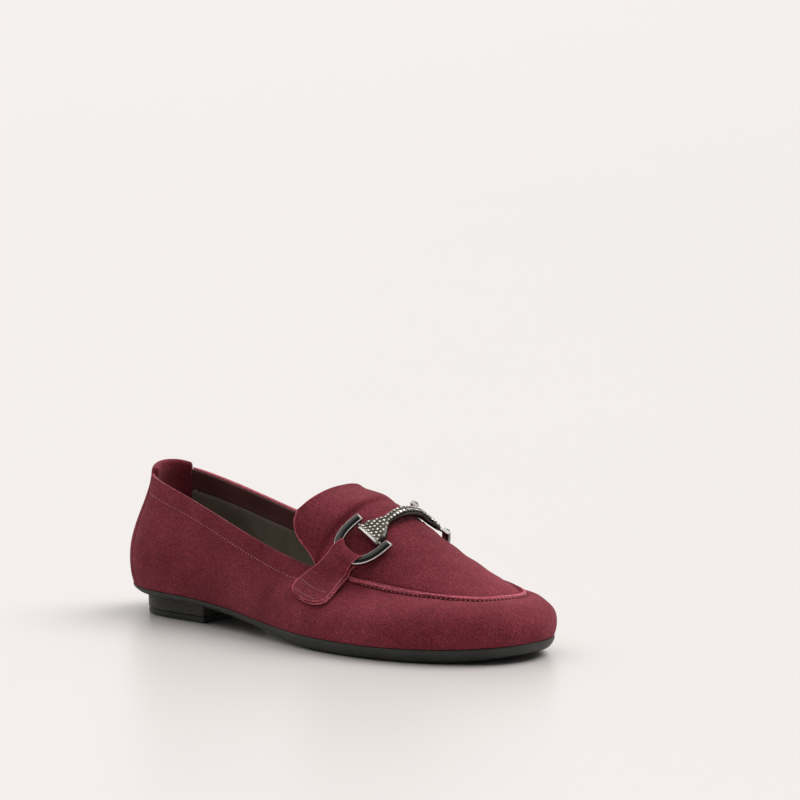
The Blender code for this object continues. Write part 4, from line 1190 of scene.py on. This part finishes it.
def bit_bar(sides, tree, steel, edge):
    """The bar with its flared plates; returns its centre line and sections for the stones."""
    path, wide, deep, flare = bar_lines(sides, tree)
    share = np.linspace(0, 1, len(path))[:, None]
    across = unit(sides[0].along * (1 - share) + sides[1].along * share)
    along = unit(np.gradient(path, axis=0))
    lift = unit(np.cross(across, along))
    lift = lift * np.sign(lift[:, 2:3])
    path = np.concatenate([[path[0] - along[0] * PLATE_TIP], path, [path[-1] + along[-1] * PLATE_TIP]])
    wide = np.concatenate([[flare], wide, [flare]])
    deep = np.concatenate([[0.0013], deep, [0.0013]])
    across = np.concatenate([across[:1], across, across[-1:]])
    lift = np.concatenate([lift[:1], lift, lift[-1:]])
    angles = (np.arange(28) + 0.5) * math.tau / 28
    shape = [(math.copysign(abs(math.cos(g)) ** 0.6, math.cos(g)),
              math.copysign(abs(math.sin(g)) ** 0.8, math.sin(g))) for g in angles]
    outlines = [[(a * w, n * d) for a, n in shape] for w, d in zip(wide, deep)]
    made = swept("bit_bar_plated", path, across, lift, outlines, (steel, edge), ("bit_bar",),
                 sharp=50)
    for face in made.data.polygons:
        for end in (0, -1):
            away = np.array(face.center) - SHIFT - path[end]
            if np.linalg.norm(away) < 0.012 and abs(np.dot(away, along[end])) < PLATE_EDGE:
                face.material_index = 1
    return path, across, lift, wide, deep


def stone(bm, spot, up, side, radius, turn):
    """A faceted stone: a bright table, crown facets by turns bright and dark, and a girdle; the bright
    and dark facets are painted glints and painted shade.
    """
    ahead = np.cross(up, side)
    turns = np.arange(8) * math.tau / 8 + turn
    circle = lambda r, h, start: [
        bm.verts.new(Vector(spot + up * h + side * r * math.cos(g) + ahead * r * math.sin(g)))
        for g in turns + start]
    table = circle(radius * 0.50, radius * 0.50, 0.0)
    girdle = circle(radius, 0.0, math.pi / 8)
    foot = circle(radius * 0.92, -radius * 0.35, math.pi / 8)
    bm.faces.new(table)
    for k in range(8):
        following = (k + 1) % 8
        crown = bm.faces.new((table[k], girdle[k], table[following]))
        kite = bm.faces.new((girdle[k], girdle[following], table[following]))
        wall = bm.faces.new((girdle[k], foot[k], foot[following], girdle[following]))
        # Crown facets alternate between the light and the dark stone paint, as painted glints and
        # painted shade; kites and girdle take the dark one.
        crown.material_index = k % 2
        kite.material_index = 1
        wall.material_index = 1


def bead(bm, spot, radius):
    """A small metal ball."""
    ball = bmesh.ops.create_icosphere(bm, subdivisions=2, radius=radius)["verts"]
    for vert in ball:
        vert.co += Vector(spot)


def stones(bar, bright, shaded_facets, steel):
    """Rows of stones over the bar's plates and its arched middle, held by beads."""
    path, across, lift, wide, deep = bar
    steps = np.linalg.norm(np.diff(path, axis=0), axis=1)
    length = np.concatenate([[0], np.cumsum(steps)])
    gems, beads = bmesh.new(), bmesh.new()
    ats = np.arange(PLATE_EDGE + GEM * 0.9, length[-1] / 2, GEM_PITCH * 0.90)
    ats = np.concatenate([ats, length[-1] - ats[::-1]])
    pick = lambda values, at: np.array([np.interp(at, length, values[:, k]) for k in range(3)])
    for number, at in enumerate(ats):
        half, thick = np.interp(at, length, wide), np.interp(at, length, deep)
        count = max(2, int((2 * half + 0.0003) / GEM_PITCH) - (number % 2 if half > 0.004 else 0))
        middle, side, up = pick(path, at), unit(pick(across, at)), unit(pick(lift, at))
        for k in range(count):
            a = (k - (count - 1) / 2) * GEM_PITCH
            edge = min(1.0, abs(a) / half)
            top = thick * (1 - edge ** (1 / 0.3)) ** 0.4
            tilt = unit(up + side * math.copysign(edge ** 3 * 0.5, a))
            spot = middle + side * a + up * (top - 0.00010) + SHIFT
            ahead = unit(np.cross(tilt, side))
            stone(gems, spot, tilt, unit(np.cross(tilt, -ahead)), GEM, 0.7 * number + 1.9 * k)
            if k:
                for step in (-0.5, 0.5):
                    where = spot - side * 0.5 * GEM_PITCH + ahead * step * GEM_PITCH * 0.9
                    bead(beads, where + tilt * 0.0002, BEAD)
    new_object("bit_stones", gems, (bright, shaded_facets), "bit", flat=True)
    new_object("bit_stone_beads", beads, (steel,), "bit")


# ---------------------------------------------------------------- set
PANEL = (-0.45, 0.35, 1.0)     # direction of the bright panel
PANEL_STOPS = ((0.30, (0.15, 0.14775, 0.1455)), (0.84, (1.45, 1.42825, 1.4065)),
               (1.0, (1.0, 1.0, 1.0)))     # colour of the light by nearness to it
KEY = (0.35, 0.62, 1.0)        # direction of the main light


def aimed(name, data, direction, track):
    """A light or camera in the scene, turned so that its track axis lies along a direction."""
    made = bpy.data.objects.new(name, data)
    made.rotation_mode = "QUATERNION"
    made.rotation_quaternion = Vector(direction).to_track_quat(track, "Y")
    bpy.context.scene.collection.objects.link(made)
    return made


def light_tent(tree):
    """A dim tent with one broad bright panel overhead and behind, for the shine on metal."""
    place = tree.nodes.new("ShaderNodeTexCoord").outputs["Generated"]
    facing = tree.nodes.new("ShaderNodeVectorMath")
    facing.operation = "DOT_PRODUCT"
    facing.inputs[1].default_value = unit(np.array(PANEL))
    ramp = tree.nodes.new("ShaderNodeValToRGB")
    ramp.color_ramp.elements.new(0.5)
    for stop, (at, colour) in zip(ramp.color_ramp.elements, PANEL_STOPS):
        stop.position = at
        stop.color = (*colour, 1)
    tree.links.new(place, facing.inputs[0])
    tree.links.new(facing.outputs["Value"], ramp.inputs["Fac"])
    tree.links.new(ramp.outputs["Color"], tree.nodes["Background"].inputs["Color"])


def studio(paint):
    """The floor, the tent of light and the main light."""
    bm = bmesh.new()
    bmesh.ops.create_grid(bm, x_segments=1, y_segments=1, size=40)
    floor = new_object("floor", bm, (paint,), None, flat=True)
    floor.location.z = -0.0002
    world = bpy.data.worlds.new("studio")
    world.use_nodes = True
    bpy.context.scene.world = world
    light_tent(world.node_tree)
    key = bpy.data.lights.new("key", "SUN")
    key.energy, key.angle, key.color = 1.50, math.radians(40), (1.0, 0.985, 0.965)
    aimed("key", key, KEY, "Z")
    bpy.context.scene.view_settings.view_transform = "Standard"


def camera():
    """From the front of the outer side, a little above the floor, with the shoe low in the frame."""
    azimuth, elevation, distance = math.radians(41), math.radians(10.8), 1.8
    target = Vector((0.0018, 0.0068, 0.0))
    back = Vector((math.sin(azimuth) * math.cos(elevation), -math.cos(azimuth) * math.cos(elevation),
                   math.sin(elevation)))
    data = bpy.data.cameras.new("camera")
    data.lens, data.sensor_width = 162, 36
    data.clip_start, data.clip_end = 0.05, 200
    right = Vector((math.cos(azimuth), math.sin(azimuth), 0.0))
    off_centre = right * 0.0300 + back.cross(right) * 0.1150
    made = aimed("camera", data, off_centre - back * distance, "-Z")
    made.location = target + back * distance
    bpy.context.scene.camera = made


# ---------------------------------------------------------------- assembly
def hidden_pieces():
    """Better materials on the CAD pieces that stay, inside the shoe and on the trim."""
    board = fibre("insole_board_fibre", (0.30, 0.21, 0.13), (0.42, 0.31, 0.20))
    cork = fibre("cork_crumb", (0.30, 0.17, 0.08), (0.50, 0.32, 0.17))
    stiff = fibre("pressed_stiffener", (0.50, 0.40, 0.28), (0.62, 0.52, 0.38))
    steel = metal("plain_steel", (0.45, 0.45, 0.46), 0.28, 0.42)
    plated = metal("pin_plate", (0.30, 0.29, 0.28), 0.14, 0.26)
    paints = {"insole_board": board, "forefoot_filler": cork, "heel_counter": stiff, "toe_puff": stiff,
              "shank": steel, "ring_pin_lateral": plated, "ring_pin_medial": plated}
    paints.update({"heel_nail_%d" % number: steel for number in range(1, 6)})
    for node, paint in paints.items():
        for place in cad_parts[node].material_slots:
            place.material = paint


def main():
    """Makes every piece, then the set and the camera."""
    nap = suede("burgundy_suede", (0.145, 0.019, 0.028), (0.200, 0.029, 0.042), (0.270, 0.045, 0.063),
                (0.95, 0.38, 0.44))
    # Paler suede for the rims of cut edges, also painted on the face along edges and on the raised
    # seam's top as a highlight.
    cut_edge_and_highlight = suede("suede_cut_edge_and_highlight", (0.40, 0.085, 0.115), (0.52, 0.115, 0.150), (0.66, 0.180, 0.220),
                (1.0, 0.55, 0.60))
    taupe = smooth_leather("taupe_lining", (0.185, 0.158, 0.128), (0.265, 0.232, 0.195), 0.55)
    facing = smooth_leather("burgundy_facing", (0.085, 0.026, 0.026), (0.140, 0.044, 0.042), 0.60)
    sewing = thread("burgundy_thread", (0.42, 0.17, 0.19), (0.66, 0.34, 0.36))
    # Bright plate, painted on the dark ring's bevels and ends as highlights, and on the bar plates'
    # edges.
    bright = metal("bright_plate_and_highlight", (0.62, 0.60, 0.57), 0.10, 0.22)
    dark = metal("dark_plate", (0.16, 0.155, 0.15), 0.16, 0.30)
    hidden_pieces()
    skirt((nap, cut_edge_and_highlight))
    apron((nap, cut_edge_and_highlight))
    apron_lining(taupe)
    back_strip((nap, cut_edge_and_highlight))
    tab_core(nap)
    linings(taupe, facing)
    skirt_stitches(sewing)
    sock(taupe)
    grey = (0.024, 0.027, 0.023), (0.042, 0.046, 0.040)
    outsole(rubber("sole_rubber", *grey), tread_rubber("sole_tread"))
    heel_pieces(rubber("heel_rubber", (0.050, 0.048, 0.043), (0.085, 0.082, 0.074), ribs=900),
                rubber("heel_lift_rubber", *grey))
    tree = surface_tree((wall_grid(), apron_rows(np.linspace(0, 2, 60), 61)))
    sides = (Side(tree, -1), Side(tree, 1))
    black = enamel("black_enamel", (0.003, 0.003, 0.0035))
    for side, label in zip(sides, ("lateral", "medial")):
        ring(side, label, dark, bright, black)
        strap(side, label, (nap, cut_edge_and_highlight), sewing)
    bar = bit_bar(sides, tree, metal("smoked_plate", (0.075, 0.072, 0.068), 0.18, 0.32), bright)
    # The light paint gives each stone's tone and its painted glints on the table and alternate facets;
    # the dark one is painted shade on the other facets.
    stones(bar, crystal("champagne_stone_and_glint", (0.34, 0.29, 0.21), (1.0, 0.94, 0.82)),
           crystal("stone_painted_shade", (0.030, 0.026, 0.022), (0.16, 0.13, 0.10)), dark)
    studio(mottled("floor", (3, 2), ((0.3, (0.712, 0.682, 0.672)), (0.7, (0.718, 0.688, 0.678))),
                   (0.33, 0.38), Specular_IOR_Level=0.35))
    camera()


main()
